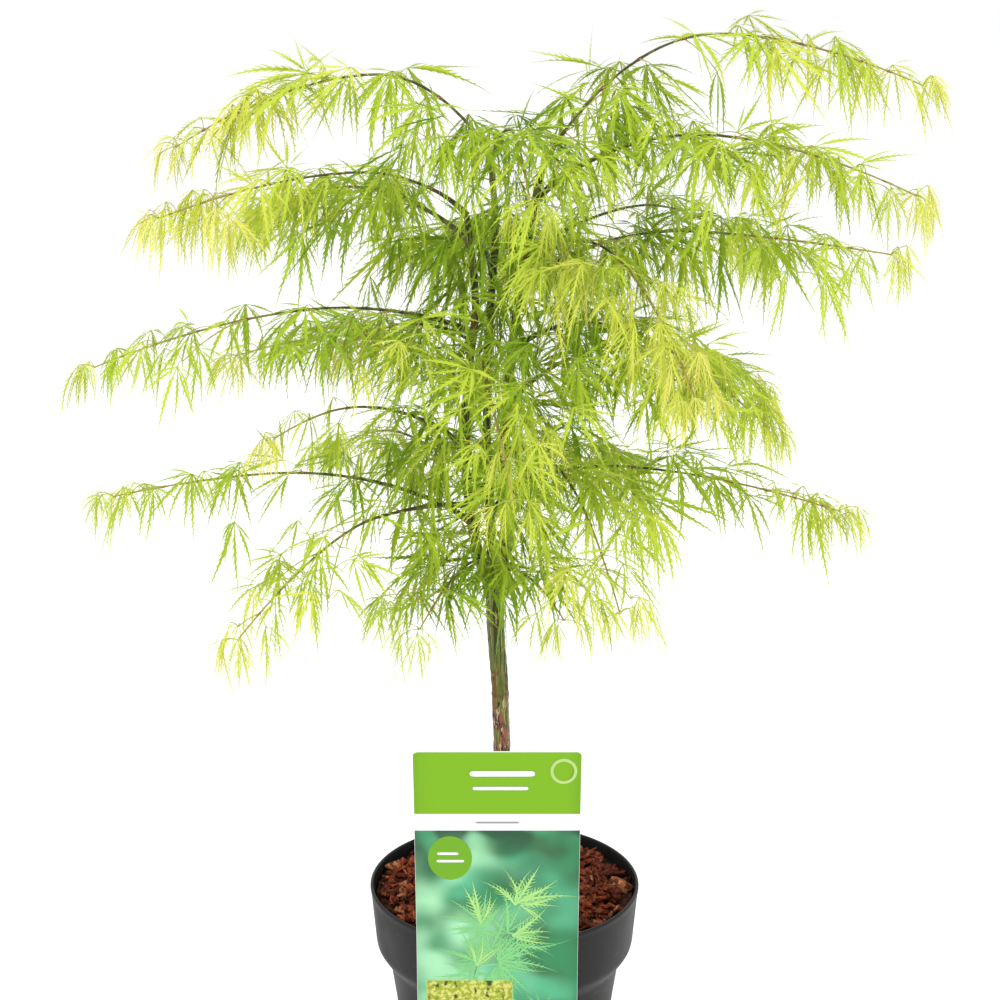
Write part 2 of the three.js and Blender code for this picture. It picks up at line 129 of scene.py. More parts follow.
TONES = {                    # plain leaf colours, from deep green to yellow
    "leaf_deep": (0.225, 0.36, 0.018),
    "leaf_mid": (0.35, 0.485, 0.03),
    "leaf_fresh": (0.46, 0.575, 0.048),
    "leaf_lime": (0.58, 0.635, 0.08),
    "leaf_yellow": (0.68, 0.675, 0.13),
}

# ------------------------------------------------------------------ small maths


def unit(v):
    return v / np.maximum(np.linalg.norm(v, axis=-1, keepdims=True), 1e-9)


def lerp(ends, t):
    return ends[0] + (ends[1] - ends[0]) * t


def around(count):
    """Evenly spaced angles round a circle."""
    return np.linspace(0, 2 * np.pi, count, endpoint=False)


def turned(v, axis, angle):
    """v turned about a unit axis, in radians."""
    return v * np.cos(angle) + np.cross(axis, v) * np.sin(angle) + axis * (v @ axis) * (1 - np.cos(angle))


class Line:
    """A polyline that can be read at any distance along it."""

    def __init__(self, points):
        self.points = np.asarray(points, float)
        steps = np.linalg.norm(np.diff(self.points, axis=0), axis=1)
        self.reach = np.concatenate([[0.0], np.cumsum(steps)])
        self.length = self.reach[-1]

    def at(self, distance):
        return np.stack([np.interp(distance, self.reach, self.points[:, k]) for k in range(3)], axis=-1)

    def heading(self, distance, span=6 * MM):
        before = self.at(np.maximum(distance - span, 0.0))
        return unit(self.at(np.minimum(distance + span, self.length)) - before)

    def smoothed(self, gap, window):
        """Evenly spaced points, each the mean of its neighbours over a window that shrinks at the ends."""
        count = max(8, int(self.length / gap))
        even = self.at(np.linspace(0, self.length, count))
        soft = even.copy()
        for i in range(1, count - 1):
            half = min(window, i, count - 1 - i)
            soft[i] = even[i - half:i + half + 1].mean(axis=0)
        return Line(soft)


# ------------------------------------------------------------------ reading the frame


def node_edges(node):
    mesh = frame["nodes"][node].data
    corners = np.array([v.co for v in mesh.vertices], float)
    sides = np.array([(p.vertices[i], p.vertices[i - 1]) for p in mesh.polygons for i in range(len(p.vertices))])
    return corners[sides]


def slice_of(edges, direction, distance):
    """The points where a plane crosses a solid's edges."""
    off = edges @ direction - distance
    crossing = off[:, 0] * off[:, 1] < 0
    ends, off = edges[crossing], off[crossing]
    share = off[:, 0] / (off[:, 0] - off[:, 1])
    return ends[:, 0] + (ends[:, 1] - ends[:, 0]) * share[:, None]


def middle(points):
    return (points.min(axis=0) + points.max(axis=0)) / 2


def upright_line(node, count=40):
    """The centreline and radii of a trunk or stem, from level slices."""
    edges = node_edges(node)
    low, high = edges[..., 2].min(), edges[..., 2].max()
    cuts = [slice_of(edges, UP, z) for z in np.linspace(low + MM, high - MM, count)]
    radii = [np.ptp(cut[:, :2], axis=0).mean() / 2 for cut in cuts]
    return Line([middle(cut) for cut in cuts]), np.array(radii)


def foliage_nodes(name):
    """The masses on a bough, from its root outwards."""
    masses = (f"foliage_{name}", f"foliage_{name}_inner", f"foliage_{name}_outer")
    return [node for node in masses if node in frame["nodes"]]


def arch_shape(t, where):
    """How far a bough has climbed to its crest, and how far it has fallen to its tip, at a share t of its reach."""
    climb = np.sin(np.pi * np.minimum(t / (2 * where), 0.5)) ** LIFT
    fall = np.clip((t - where) / (1 - where), 0, 1) ** DROOP
    return climb, fall


def bough_line(name, stems):
    """A bough's line from its stem to its tip, the distance where its foliage starts, and how deep that hangs."""
    masses = [node_edges(n) for n in foliage_nodes(name)]
    far = masses[-1].reshape(-1, 3)
    limb = node_edges(f"bough_{name}") if f"bough_{name}" in frame["nodes"] else None
    body = (limb if limb is not None else masses[0]).reshape(-1, 3)
    gaps = [np.linalg.norm(body[:, None, :] - stem.points[None], axis=2) for stem in stems]
    near = int(np.argmin([gap.min() for gap in gaps]))
    root = stems[near].points[np.unravel_index(np.argmin(gaps[near]), gaps[near].shape)[1]]
    tip = far[np.argmax(np.linalg.norm((far - root)[:, :2], axis=1))]
    ahead = unit((tip - root) * [1, 1, 0])
    aside = np.cross(UP, ahead)
    start = root @ ahead
    reach = (far @ ahead).max() - start - OVERHANG

    samples = []             # share of the reach, sideways offset, height, trust
    if limb is not None:
        for d in np.linspace((limb @ ahead).min() + 3 * MM, (limb @ ahead).max() - 2 * MM, 18):
            cut = middle(slice_of(limb, ahead, d))
            samples.append(((d - start) / reach, (cut - root) @ aside, cut[2], 3.0))
    depths = []
    for mass in masses:
        low, high = (mass @ ahead).min(), (mass @ ahead).max()
        for d in np.linspace(lerp((low, high), 0.25), lerp((low, high), 0.72), 8):
            cut = slice_of(mass, ahead, d)
            depths.append(np.ptp(cut[:, 2]))
            samples.append(((d - start) / reach, (middle(cut) - root) @ aside, cut[:, 2].max() - RIDGE * depths[-1],
                            1.0))
    t, offset, height, trust = np.array(samples).T

    # the crest and tip that suit the samples best, over a range of places for the crest
    fits = []
    for where in np.linspace(0.28, 0.62, 18):
        climb, fall = arch_shape(t, where)
        terms = np.stack([climb - fall, fall], 1)
        rest = height - root[2] * (1 - climb)
        answer = np.linalg.lstsq(terms * trust[:, None], rest * trust, rcond=None)[0]
        fits.append((float(np.sum(((terms @ answer - rest) * trust) ** 2)), where, answer))
    _, where, (crest, end) = min(fits, key=lambda fit: fit[0])
    terms = np.stack([t, np.sin(np.pi * t)], 1)
    lean, sway = np.linalg.lstsq(terms * trust[:, None], offset * trust, rcond=None)[0]

    share = np.linspace(0, 1, 80)
    climb, fall = arch_shape(share, where)
    heights = root[2] + (crest - root[2]) * climb + (end - crest) * fall
    offsets = lean * share + sway * np.sin(np.pi * share)
    points = root * [1, 1, 0] + share[:, None] * reach * ahead + offsets[:, None] * aside + heights[:, None] * UP
    line = Line(points).smoothed(3 * MM, 3)
    leafy = ((masses[0] @ ahead).min() - start) / reach
    return line, float(np.interp(leafy, share, Line(points).reach)), float(np.median(depths))


# ------------------------------------------------------------------ node trees and materials


def new_tree(name, kind, inputs, outputs):
    """An empty node tree with named inputs and outputs, and its two end nodes."""
    tree = bpy.data.node_groups.new(name, kind)
    for way, sockets in (("INPUT", inputs), ("OUTPUT", outputs)):
        for label, holds, value in sockets:
            socket = tree.interface.new_socket(label, in_out=way, socket_type=f"NodeSocket{holds}")
            if value is not None:
                socket.default_value = value
    return tree, tree.nodes.new("NodeGroupInput"), tree.nodes.new("NodeGroupOutput")


def wire(tree, *links):
    """Joins nodes: each link is a node, its output, the node that it goes to, and that one's input."""
    for source, output, target, socket in links:
        tree.links.new(source.outputs[output], target.inputs[socket])


def make_mottle_group():
    """Blotches that can be stretched along an axis: a mask for colour and a height for relief."""
    group, start, end = new_tree(
        "mottle", "ShaderNodeTree",
        [("Vector", "Vector", None), ("Stretch", "Vector", (1, 1, 1)), ("Scale", "Float", 60.0),
         ("Detail", "Float", 4.0), ("Low", "Float", 0.4), ("High", "Float", 0.6)],
        [("Mask", "Float", None), ("Height", "Float", None)])
    scale = group.nodes.new("ShaderNodeVectorMath")
    scale.operation = "MULTIPLY"
    noise = group.nodes.new("ShaderNodeTexNoise")
    band = group.nodes.new("ShaderNodeMapRange")
    band.interpolation_type = "SMOOTHSTEP"
    wire(group, (start, "Vector", scale, 0), (start, "Stretch", scale, 1), (scale, "Vector", noise, "Vector"),
         (start, "Scale", noise, "Scale"), (start, "Detail", noise, "Detail"), (noise, "Fac", band, "Value"),
         (start, "Low", band, "From Min"), (start, "High", band, "From Max"), (band, "Result", end, "Mask"),
         (noise, "Fac", end, "Height"))
    return group


MOTTLE = make_mottle_group()


class Material:
    """A Principled material whose colour, roughness and relief come from layers of mottle."""

    def __init__(self, name, colour, roughness, specular, **plain):
        self.data = bpy.data.materials.new(name)
        self.data.use_nodes = True
        tree = self.data.node_tree
        self.add, self.link = tree.nodes.new, tree.links.new
        self.shader = tree.nodes["Principled BSDF"]
        self.colour = (*colour, 1.0)
        plain |= {"Base_Color": self.colour, "Roughness": roughness, "Specular_IOR_Level": specular}
        for label, value in plain.items():
            self.shader.inputs[label.replace("_", " ")].default_value = value
        self.source = None

    def coordinates(self):
        return self.add("ShaderNodeTexCoord").outputs["Object"]

    def mottle(self, scale, low, high, stretch=(1, 1, 1), detail=4.0):
        node = self.add("ShaderNodeGroup")
        node.node_tree = MOTTLE
        self.link(self.coordinates(), node.inputs["Vector"])
        settings = {"Scale": scale, "Low": low, "High": high, "Stretch": stretch, "Detail": detail}
        for label, value in settings.items():
            node.inputs[label].default_value = value
        return node

    def blotches(self, *settings, **more):
        """The mask of a mottle."""
        return self.mottle(*settings, **more).outputs["Mask"]

    def tint(self, colour, mask):
        """Lays a colour over what is there where the mask is high."""
        mix = self.add("ShaderNodeMix")
        mix.data_type = "RGBA"
        base, over, result = mix.inputs[6], mix.inputs[7], mix.outputs[2]
        if self.source is None:
            base.default_value = self.colour
        else:
            self.link(self.source, base)
        over.default_value = (*colour, 1.0)
        self.link(mask, mix.inputs[0])
        self.link(result, self.shader.inputs["Base Color"])
        self.source = result

    def above(self, value, low, high, least=0.0, most=1.0):
        """A number that goes from least to most while another goes from low to high."""
        node = self.add("ShaderNodeMapRange")
        self.link(value, node.inputs["Value"])
        for label, end in (("From Min", low), ("From Max", high), ("To Min", least), ("To Max", most)):
            node.inputs[label].default_value = end
        return node.outputs["Result"]

    def ramp(self, axis, low, high):
        """A mask that goes from 0 to 1 between two places along an axis."""
        split = self.add("ShaderNodeSeparateXYZ")
        self.link(self.coordinates(), split.inputs[0])
        return self.above(split.outputs[axis], low, high)

    def painted(self, name, low=0.0, high=1.0):
        """A mask from a number painted on the mesh."""
        read = self.add("ShaderNodeAttribute")
        read.attribute_name = name
        return self.above(read.outputs["Fac"], low, high)

    def times(self, first, second):
        node = self.add("ShaderNodeMath")
        node.operation = "MULTIPLY"
        self.link(first, node.inputs[0])
        self.link(second, node.inputs[1])
        return node.outputs[0]

    def mix(self, first, second, share):
        """Two masks blended: share is how much of the second."""
        node = self.add("ShaderNodeMix")
        node.inputs[0].default_value = share
        self.link(first, node.inputs[2])
        self.link(second, node.inputs[3])
        return node.outputs[0]

    def roughen(self, low, high, mask):
        self.link(self.above(mask, 0.0, 1.0, low, high), self.shader.inputs["Roughness"])

    def emboss(self, mottle, distance, strength=1.0):
        """Fine relief from the height of a mottle."""
        bump = self.add("ShaderNodeBump")
        bump.inputs["Distance"].default_value = distance
        bump.inputs["Strength"].default_value = strength
        self.link(mottle.outputs["Height"], bump.inputs["Height"])
        self.link(bump.outputs["Normal"], self.shader.inputs["Normal"])


def trunk_material():
    """Green young bark, striped along the stem, with brown patches, and red-brown cracked bark at the foot."""
    m = Material("young_trunk_bark", (0.13, 0.15, 0.022), 0.62, 0.3)
    m.tint((0.036, 0.042, 0.011), m.blotches(420, 0.45, 0.55, (1, 1, 0.05)))
    m.tint((0.3, 0.31, 0.085), m.blotches(760, 0.57, 0.63, (1, 1, 0.04), 3))
    patches = m.blotches(120, 0.58, 0.64, (1, 1, 0.22), 6)
    m.tint((0.17, 0.085, 0.03), patches)
    m.tint((0.02, 0.016, 0.008), m.blotches(520, 0.68, 0.7, (1, 1, 0.8), 2))
    cracks = m.mottle(420, 0.45, 0.54, (1, 1, 0.2), 7)
    edge = m.mix(m.blotches(230, 0.4, 0.6, (1, 1, 0.3), 5), m.ramp("Z", 0.325, 0.255), 0.55)
    low_wood = m.above(edge, 0.5, 0.6)
    m.tint((0.24, 0.095, 0.042), low_wood)
    m.tint((0.045, 0.02, 0.011), m.times(low_wood, cracks.outputs["Mask"]))
    m.tint((0.5, 0.34, 0.22), m.times(low_wood, m.blotches(520, 0.57, 0.62, (1, 1, 0.3), 5)))
    m.tint((0.1, 0.05, 0.022), m.painted("scar", 0.2, 1.6))
    m.roughen(0.5, 0.8, patches)
    m.emboss(cracks, 0.7 * MM, 0.8)
    return m.data


def bough_material():
    """Dark olive bark with warm patches, reddish at the nodes and paler and greener towards the tip."""
    m = Material("olive_bough_bark", (0.045, 0.045, 0.01), 0.5, 0.35)
    m.tint((0.15, 0.15, 0.025), m.blotches(120, 0.46, 0.6, (1, 1, 0.6)))
    young = m.painted("age", 0.55, 0.1)
    m.tint((0.37, 0.3, 0.07), young)
    m.tint((0.36, 0.2, 0.065), m.times(young, m.blotches(60, 0.56, 0.66)))
    m.tint((0.2, 0.07, 0.025), m.painted("scar"))
    m.emboss(m.mottle(900, 0.4, 0.6), 0.2 * MM, 0.5)
    return m.data


def shoot_material():
    m = Material("young_shoot_skin", (0.42, 0.44, 0.08), 0.5, 0.3)
    m.tint((0.42, 0.3, 0.1), m.blotches(90, 0.58, 0.68))
    return m.data


def pot_material():
    """Dark moulded plastic with a fine grain, a little dust and faint scuffs."""
    m = Material("pot_moulded_plastic", (0.012, 0.0122, 0.0122), 0.48, 0.15)
    dust = m.blotches(18, 0.45, 0.75, detail=5)
    m.tint((0.02, 0.0197, 0.0193), dust)
    m.tint((0.04, 0.04, 0.04), m.blotches(90, 0.66, 0.72, (1, 1, 4), 8))
    m.roughen(0.44, 0.62, dust)
    m.emboss(m.mottle(1400, 0.4, 0.6, detail=2), 0.12 * MM, 0.5)
    return m.data


def compost_material():
    m = Material("damp_compost", (0.024, 0.009, 0.005), 0.95, 0.1)
    m.tint((0.07, 0.024, 0.012), m.blotches(240, 0.45, 0.6, detail=6))
    m.emboss(m.mottle(500, 0.4, 0.6, detail=6), 1.2 * MM)
    return m.data


def chip_material(name, colour, pale):
    """Bark fibre: streaks of a paler colour, and rough along the grain."""
    m = Material(name, colour, 0.88, 0.12)
    streaks = m.mottle(460, 0.5, 0.62, (1, 0.35, 1), 6)
    m.tint(pale, streaks.outputs["Mask"])
    m.tint([0.3 * value for value in colour], m.blotches(260, 0.52, 0.6))
    m.emboss(streaks, 0.7 * MM, 0.8)
    return m.data


def card_material(name, colour):
    return Material(f"print_{name}", colour, 0.42, 0.12)


def ink_material(name, colour):
    """A plain printed colour with the faint grain of the card."""
    m = card_material(name, colour)
    m.emboss(m.mottle(900, 0.4, 0.6, detail=2), 0.03 * MM, 0.4)
    return m.data


def picture_material():
    """The soft, out-of-focus greens behind the label's picture: pale lights on the left, dark at the top."""
    m = card_material("picture", (0.045, 0.225, 0.095))
    m.tint((0.05, 0.14, 0.06), m.blotches(30, 0.35, 0.65, detail=1))
    m.tint((0.1, 0.42, 0.23), m.blotches(27, 0.42, 0.7, (1, 1, 1.2), 0.5))
    m.tint((0.34, 0.68, 0.4), m.times(m.blotches(38, 0.36, 0.7, detail=0.5), m.ramp("X", 0.025, -0.03)))
    m.tint((0.03, 0.085, 0.045), m.times(m.blotches(34, 0.4, 0.6, detail=1), m.ramp("Z", 0.19, 0.25)))
    return m.data


def inset_material():
    """A small printed view of a yellow-green bush with dark gaps."""
    m = card_material("inset", (0.3, 0.36, 0.035))
    m.tint((0.6, 0.6, 0.16), m.blotches(380, 0.45, 0.6))
    m.tint((0.05, 0.07, 0.02), m.blotches(230, 0.56, 0.66, (1, 1, 0.5)))
    return m.data


# ------------------------------------------------------------------ pieces


def show(name, data):
    """A new object, linked into the scene."""
    piece = bpy.data.objects.new(name, data)
    bpy.context.scene.collection.objects.link(piece)
    return piece


def final_mesh(source):
    """An object's mesh with its modifiers applied. The object is removed."""
    graph = bpy.context.evaluated_depsgraph_get()
    mesh = bpy.data.meshes.new_from_object(source.evaluated_get(graph), depsgraph=graph)
    bpy.data.objects.remove(source)
    return mesh


def new_mesh(name, points, faces):
    """A mesh from arrays: faces is an n by 3 or n by 4 array of point numbers."""
    faces = np.asarray(faces, np.int32)
    mesh = bpy.data.meshes.new(name)
    mesh.vertices.add(len(points))
    mesh.vertices.foreach_set("co", np.asarray(points, np.float32).ravel())
    mesh.loops.add(faces.size)
    mesh.loops.foreach_set("vertex_index", faces.ravel())
    mesh.polygons.add(len(faces))
    mesh.polygons.foreach_set("loop_start", np.arange(0, faces.size, faces.shape[1], dtype=np.int32))
    mesh.update(calc_edges=True)
    return mesh


def paint_points(mesh, name, values):
    """Stores one number for each point, which a material can read by name."""
    mesh.attributes.new(name, "FLOAT", "POINT").data.foreach_set("value", np.asarray(values, np.float32))


def add_piece(name, mesh, material, stands_for=(), smooth=True):
    """Links a mesh as a piece of the plant, with its finish and the solids that it stands for."""
    mesh.materials.clear()
    mesh.materials.append(material)
    if smooth:
        mesh.polygons.foreach_set("use_smooth", np.ones(len(mesh.polygons), bool))
    piece = show(name, mesh)
    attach(piece, "root")
    if stands_for:
        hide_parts(*stands_for)


def joined(parts):
    """Several (points, faces) pairs as one."""
    sizes = np.cumsum([0] + [len(points) for points, _ in parts])
    return (np.vstack([points for points, _ in parts]),
            np.concatenate([faces + start for (_, faces), start in zip(parts, sizes)]))


def ring_walls(rings, sides):
    """Faces between rings of points that follow one another."""
    ring, side = np.meshgrid(np.arange(rings - 1), np.arange(sides), indexing="ij")
    a = (ring * sides + side).ravel()
    b = (ring * sides + (side + 1) % sides).ravel()
    return np.concatenate([np.stack([a, b, b + sides], 1), np.stack([a, b + sides, a + sides], 1)])


def closed_rings(points, first, last):
    """A closed shape from rings of points, which has a middle point at each end."""
    rings, sides = points.shape[:2]
    turn, onward = np.arange(sides), (np.arange(sides) + 1) % sides
    low, high = rings * sides, (rings - 1) * sides
    lids = [np.stack([np.full(sides, low), onward, turn], 1),
            np.stack([np.full(sides, low + 1), high + turn, high + onward], 1)]
    return (np.vstack([points.reshape(-1, 3), first, last]), np.concatenate([ring_walls(rings, sides), *lids]))


def ring_frames(line, distances):
    """Two directions across a line at each distance, turning with it without twist."""
    ahead = line.heading(distances)
    across = np.zeros_like(ahead)
    across[0] = unit(np.cross(ahead[0], UP if abs(ahead[0, 2]) < 0.9 else [0.0, 1.0, 0.0]))
    for i in range(1, len(ahead)):
        across[i] = unit(across[i - 1] - ahead[i] * (across[i - 1] @ ahead[i]))
    return across, np.cross(ahead, across)


def tube(line, distances, radii):
    """Points and faces of a closed tube: radii holds one row for each distance and a column for each side."""
    across, upward = ring_frames(line, distances)
    angle = around(radii.shape[1])[None, :, None]
    rim = across[:, None] * np.cos(angle) + upward[:, None] * np.sin(angle)
    centres = line.at(distances)
    return closed_rings(centres[:, None] + rim * radii[..., None], centres[0], centres[-1])


def waves(distance, angle, amounts):
    """A lumpy field over a limb: each amount is (height, turns round the limb, waves per metre)."""
    field = 0
    for height, turns, rate in amounts:
        phase = rng.uniform(0, 2 * np.pi, 3)
        wander = 0.8 * np.sin(distance * rate * 0.37 + phase[1])
        field = field + height * np.sin(turns * angle + distance * rate + phase[0] + wander)
    return field


def knuckles(distance, places, width=1.6 * MM):
    """Swollen rings where leaves or shoots left a limb."""
    field = np.zeros_like(distance)
    for place in places:
        field = field + np.exp(-((distance - place) / width) ** 2)
    return field


def limb_mesh(name, line, radius_at, bark, nodes):
    """A limb with bark relief: radius_at gives the plain radius at each distance along it."""
    distances = np.linspace(0, line.length, max(6, int(line.length / bark.step)))
    angle = around(bark.sides)[None, :]
    along = distances[:, None] + 0 * angle
    radii = radius_at(distances)[:, None] * (1 + waves(along, angle, bark.lumps))
    scars = knuckles(distances, nodes)
    radii = radii + bark.knuckle * scars[:, None] * (0.7 + 0.3 * np.cos(2 * angle))
    mesh = new_mesh(name, *tube(line, distances, radii))
    for label, values, ends in (("age", 1 - distances / line.length, [1, 0]), ("scar", np.clip(scars, 0, 1), [0, 0])):
        paint_points(mesh, label, np.concatenate([np.repeat(values, bark.sides), ends]))
    return mesh


# ------------------------------------------------------------------ growing the crown


Leaf = namedtuple("Leaf", "foot axis across length youth tint droop")


class Crown:
    """Everything that grows from the stems and boughs: side shoots, leaf stalks and leaves."""

    def __init__(self):
        self.twigs = []      # points and radii of each side shoot
        self.stalks = []     # and of each leaf's stalk
        self.leaves = []

    def add_leaf(self, point, out, rise, size, youth, tint, droop):
        """A leaf on a stalk that leaves the shoot along out at the angle rise, and hangs by the angle droop."""
        level = unit(out * [1, 1, 0])
        stalk = lerp(PETIOLE, min(youth, 1.0)) * rng.uniform(0.7, 1.2)
        heading = level * math.cos(rise) + UP * math.sin(rise)
        t = np.linspace(0, 1, len(PETIOLE_SHAPE))[:, None]
        path = point + stalk * (t * heading - PETIOLE_SAG * t * t * UP)
        self.stalks.append((path, PETIOLE_RADIUS * PETIOLE_SHAPE))
        axis = level * math.cos(droop) - UP * math.sin(droop)
        across = turned(np.cross(UP, level), axis, rng.normal(0, 0.5))
        self.leaves.append(Leaf(path[-1], axis, across, size * rng.uniform(0.8, 1.12), youth, tint, droop))

    def hang_pair(self, here, along, size, youth, tint, sides=(1, -1)):
        """Leaves on both sides of a node. Their stalks arch over, and their lobes fall like a fountain."""
        aside = unit(np.cross(UP, along))
        for side in sides:
            out = unit(along * rng.uniform(0.1, 1.0) + aside * side)
            droop = rng.uniform(*lerp(np.array(LEAF_DROOP), min(youth, 1.0)))
            self.add_leaf(here, out, math.radians(rng.uniform(*PETIOLE_RISE)), size, youth, tint,
                          math.radians(droop))

    def add_side_shoot(self, point, ahead, length, youth, tint, size):
        """A short shoot that bends down, with leaves in pairs and a tuft at its tip."""
        t = np.linspace(0, 1, 8)[:, None]
        sag = rng.uniform(0.2, 0.4)
        path = point + length * (t * ahead - sag * t * t * UP)
        self.twigs.append((path, lerp(TWIG_RADIUS, t[:, 0])))
        line = Line(path)
        place = SIDE_GAP * rng.uniform(0.7, 1.0)
        while place < line.length - LAST_NODE:
            share = place / line.length
            self.hang_pair(line.at(place), line.heading(place), size, youth + 0.2 * share, tint + 0.1 * share)
            place += SIDE_GAP * rng.uniform(0.85, 1.25)
        self.hang_pair(line.at(line.length), line.heading(line.length), size * 0.86, youth + 0.25, tint + 0.14,
                       sides=(0.6, -0.6))

    def grow(self, line, leafy_from, size_share, tint, gap, young):
        """Walks out along a bough, adding a pair of shoots or leaves at each node."""
        places = []
        place = leafy_from + rng.uniform(0, 8) * MM
        while place < line.length - LAST_NODE:
            out = (place - leafy_from) / (line.length - leafy_from)
            here, ahead = line.at(place), line.heading(place)
            youth = max(young, (out - YOUNG_FROM) / (1 - YOUNG_FROM))
            spacing = lerp((gap, min(gap, TIP_GAP)), out)
            shade = tint + TINT_GAIN * out
            size = lerp(LEAF_LENGTH, out) * size_share
            for side in (1, -1):
                if rng.random() < lerp(SIDE_CHANCE, out) / spacing:
                    angle = side * math.radians(rng.uniform(*SIDE_ANGLE))
                    heading = turned(unit(ahead * [1, 1, 0.5]), UP, angle)
                    length = lerp(SIDE_LENGTH, out) * rng.uniform(0.5, 1.1)
                    self.add_side_shoot(here, heading, length, youth, shade, size)
                else:
                    self.hang_pair(here, ahead, size, youth, shade, sides=(side,))
            for chance, swing, rise, droop, share, greener in SINGLE_LEAVES:
                if rng.random() < lerp(chance, out):
                    heading = turned(unit(ahead * [1, 1, 0]), UP, rng.uniform(-swing, swing))
                    self.add_leaf(here, heading, math.radians(rng.uniform(*rise)), size * share, youth,
                                  shade - greener, math.radians(rng.uniform(*droop)))
            places.append(place)
            place += spacing * lerp(NODE_GAP, out) * rng.uniform(0.85, 1.15)
        self.hang_pair(line.at(line.length), line.heading(line.length), LEAF_LENGTH[1] * 0.75, 1.0,
                       tint + TINT_GAIN + 0.1, sides=(0.9, 0.2, -0.4, -0.9))
        return places

    def grow_heart(self, stem):
        """Short leafy shoots all the way up a stem, a quarter turn on at each bud."""
        place = float(np.interp(HEART_FROM, stem.points[:, 2], stem.reach)) + rng.uniform(0, 10) * MM
        turn = rng.uniform(0, np.pi)
        places = []
        while place < stem.length:
            here = stem.at(place)
            for way in (turn, turn + np.pi):
                heading = unit(np.array([math.cos(way), math.sin(way), HEART_RISE]))
                if rng.random() < HEART_SHOOTS:
                    self.add_side_shoot(here, heading, rng.uniform(*HEART_LENGTH) * MM, 0.1, HEART_TINT,
                                        LEAF_LENGTH[0] * 0.9)
                else:
                    self.add_leaf(here, heading, math.radians(rng.uniform(10, 50)), LEAF_LENGTH[0] * 0.95, 0.0,
                                  HEART_TINT, math.radians(rng.uniform(20, 75)))
            places.append(place)
            place += HEART_GAP * rng.uniform(0.8, 1.25)
            turn += np.pi / 2 + rng.normal(0, 0.3)
        return places


# ------------------------------------------------------------------ leaf outlines

OPENING = (1.05, 0.5)        # how far the lobes spread, on a level leaf and on one that hangs straight down
LOBE_TURNS = np.radians([0, 28, -28, 57, -57, 88, -88, 122, -122])
LOBE_SIZES = np.array([1.0, 0.95, 0.95, 0.82, 0.82, 0.62, 0.62, 0.4, 0.4])
LOBE_ROWS = np.array([0.0, 0.12, 0.24, 0.37, 0.51, 0.66, 0.82])
FULL_WIDTHS = np.array([0.006, 0.009, 0.019, 0.022, 0.016, 0.008, 0.004])     # half widths of a grown lobe
LACE_WIDTHS = np.array([0.006, 0.008, 0.011, 0.012, 0.010, 0.007, 0.004])     # and of a young, lacy one
TEETH = 7                    # on each side of a lobe
TOOTH_START, TOOTH_END = 0.13, 0.68
FULL_TOOTH = (0.120, 0.029, 0.040)    # forward reach, sideways reach and foot of a grown lobe's tooth
LACE_TOOTH = (0.130, 0.052, 0.022)    # and of a young lobe's side segment


def lobe_template():
    """For one lobe: each point's place along it and sideways reach, when grown and when lacy, and the faces."""
    points, faces = [], []
    for row, full, lace in zip(LOBE_ROWS, FULL_WIDTHS, LACE_WIDTHS):
        points += [(row, row, -full, -lace), (row, row, 0.0, 0.0), (row, row, full, lace)]
    points.append((1.0, 1.0, 0.0, 0.0))
    for i in range(len(LOBE_ROWS) - 1):
        for side in (0, 1):
            a, b = 3 * i + side, 3 * i + side + 1
            faces += [(a, b, b + 3), (a, b + 3, a + 3)]
    last = 3 * (len(LOBE_ROWS) - 1)
    tip = len(points) - 1
    faces += [(last, last + 1, tip), (last + 1, last + 2, tip)]

    for side in (1, -1):
        for i in range(TEETH):
            share = (i + (0.0 if side > 0 else 0.45)) / (TEETH - 1)
            place = lerp((TOOTH_START, TOOTH_END), share)
            uneven = 0.7 + 0.6 * ((0.618 * i + 0.25 * side) % 1)
            swell = uneven * math.sin(math.pi * lerp((0.24, 0.93), min(share, 1.0))) ** 0.8
            grown, lacy = [], []
            for corners, widths, (reach, out, foot) in ((grown, FULL_WIDTHS, FULL_TOOTH),
                                                        (lacy, LACE_WIDTHS, LACE_TOOTH)):
                edge = 0.7 * float(np.interp(place, LOBE_ROWS, widths))
                corners += [(place, edge), (place + foot, edge * 0.8),
                            (place + 0.62 * reach * swell, edge + 0.72 * out * swell),
                            (place + reach * swell, edge + out * swell)]
            base = len(points)
            points += [(sa, sb, side * wa, side * wb) for (sa, wa), (sb, wb) in zip(grown, lacy)]
            for face in ((base, base + 1, base + 2), (base + 2, base + 1, base + 3)):
                faces.append(face if side > 0 else face[::-1])
    table = np.array(points)
    return table[:, 0], table[:, 1], table[:, 2], table[:, 3], np.array(faces)


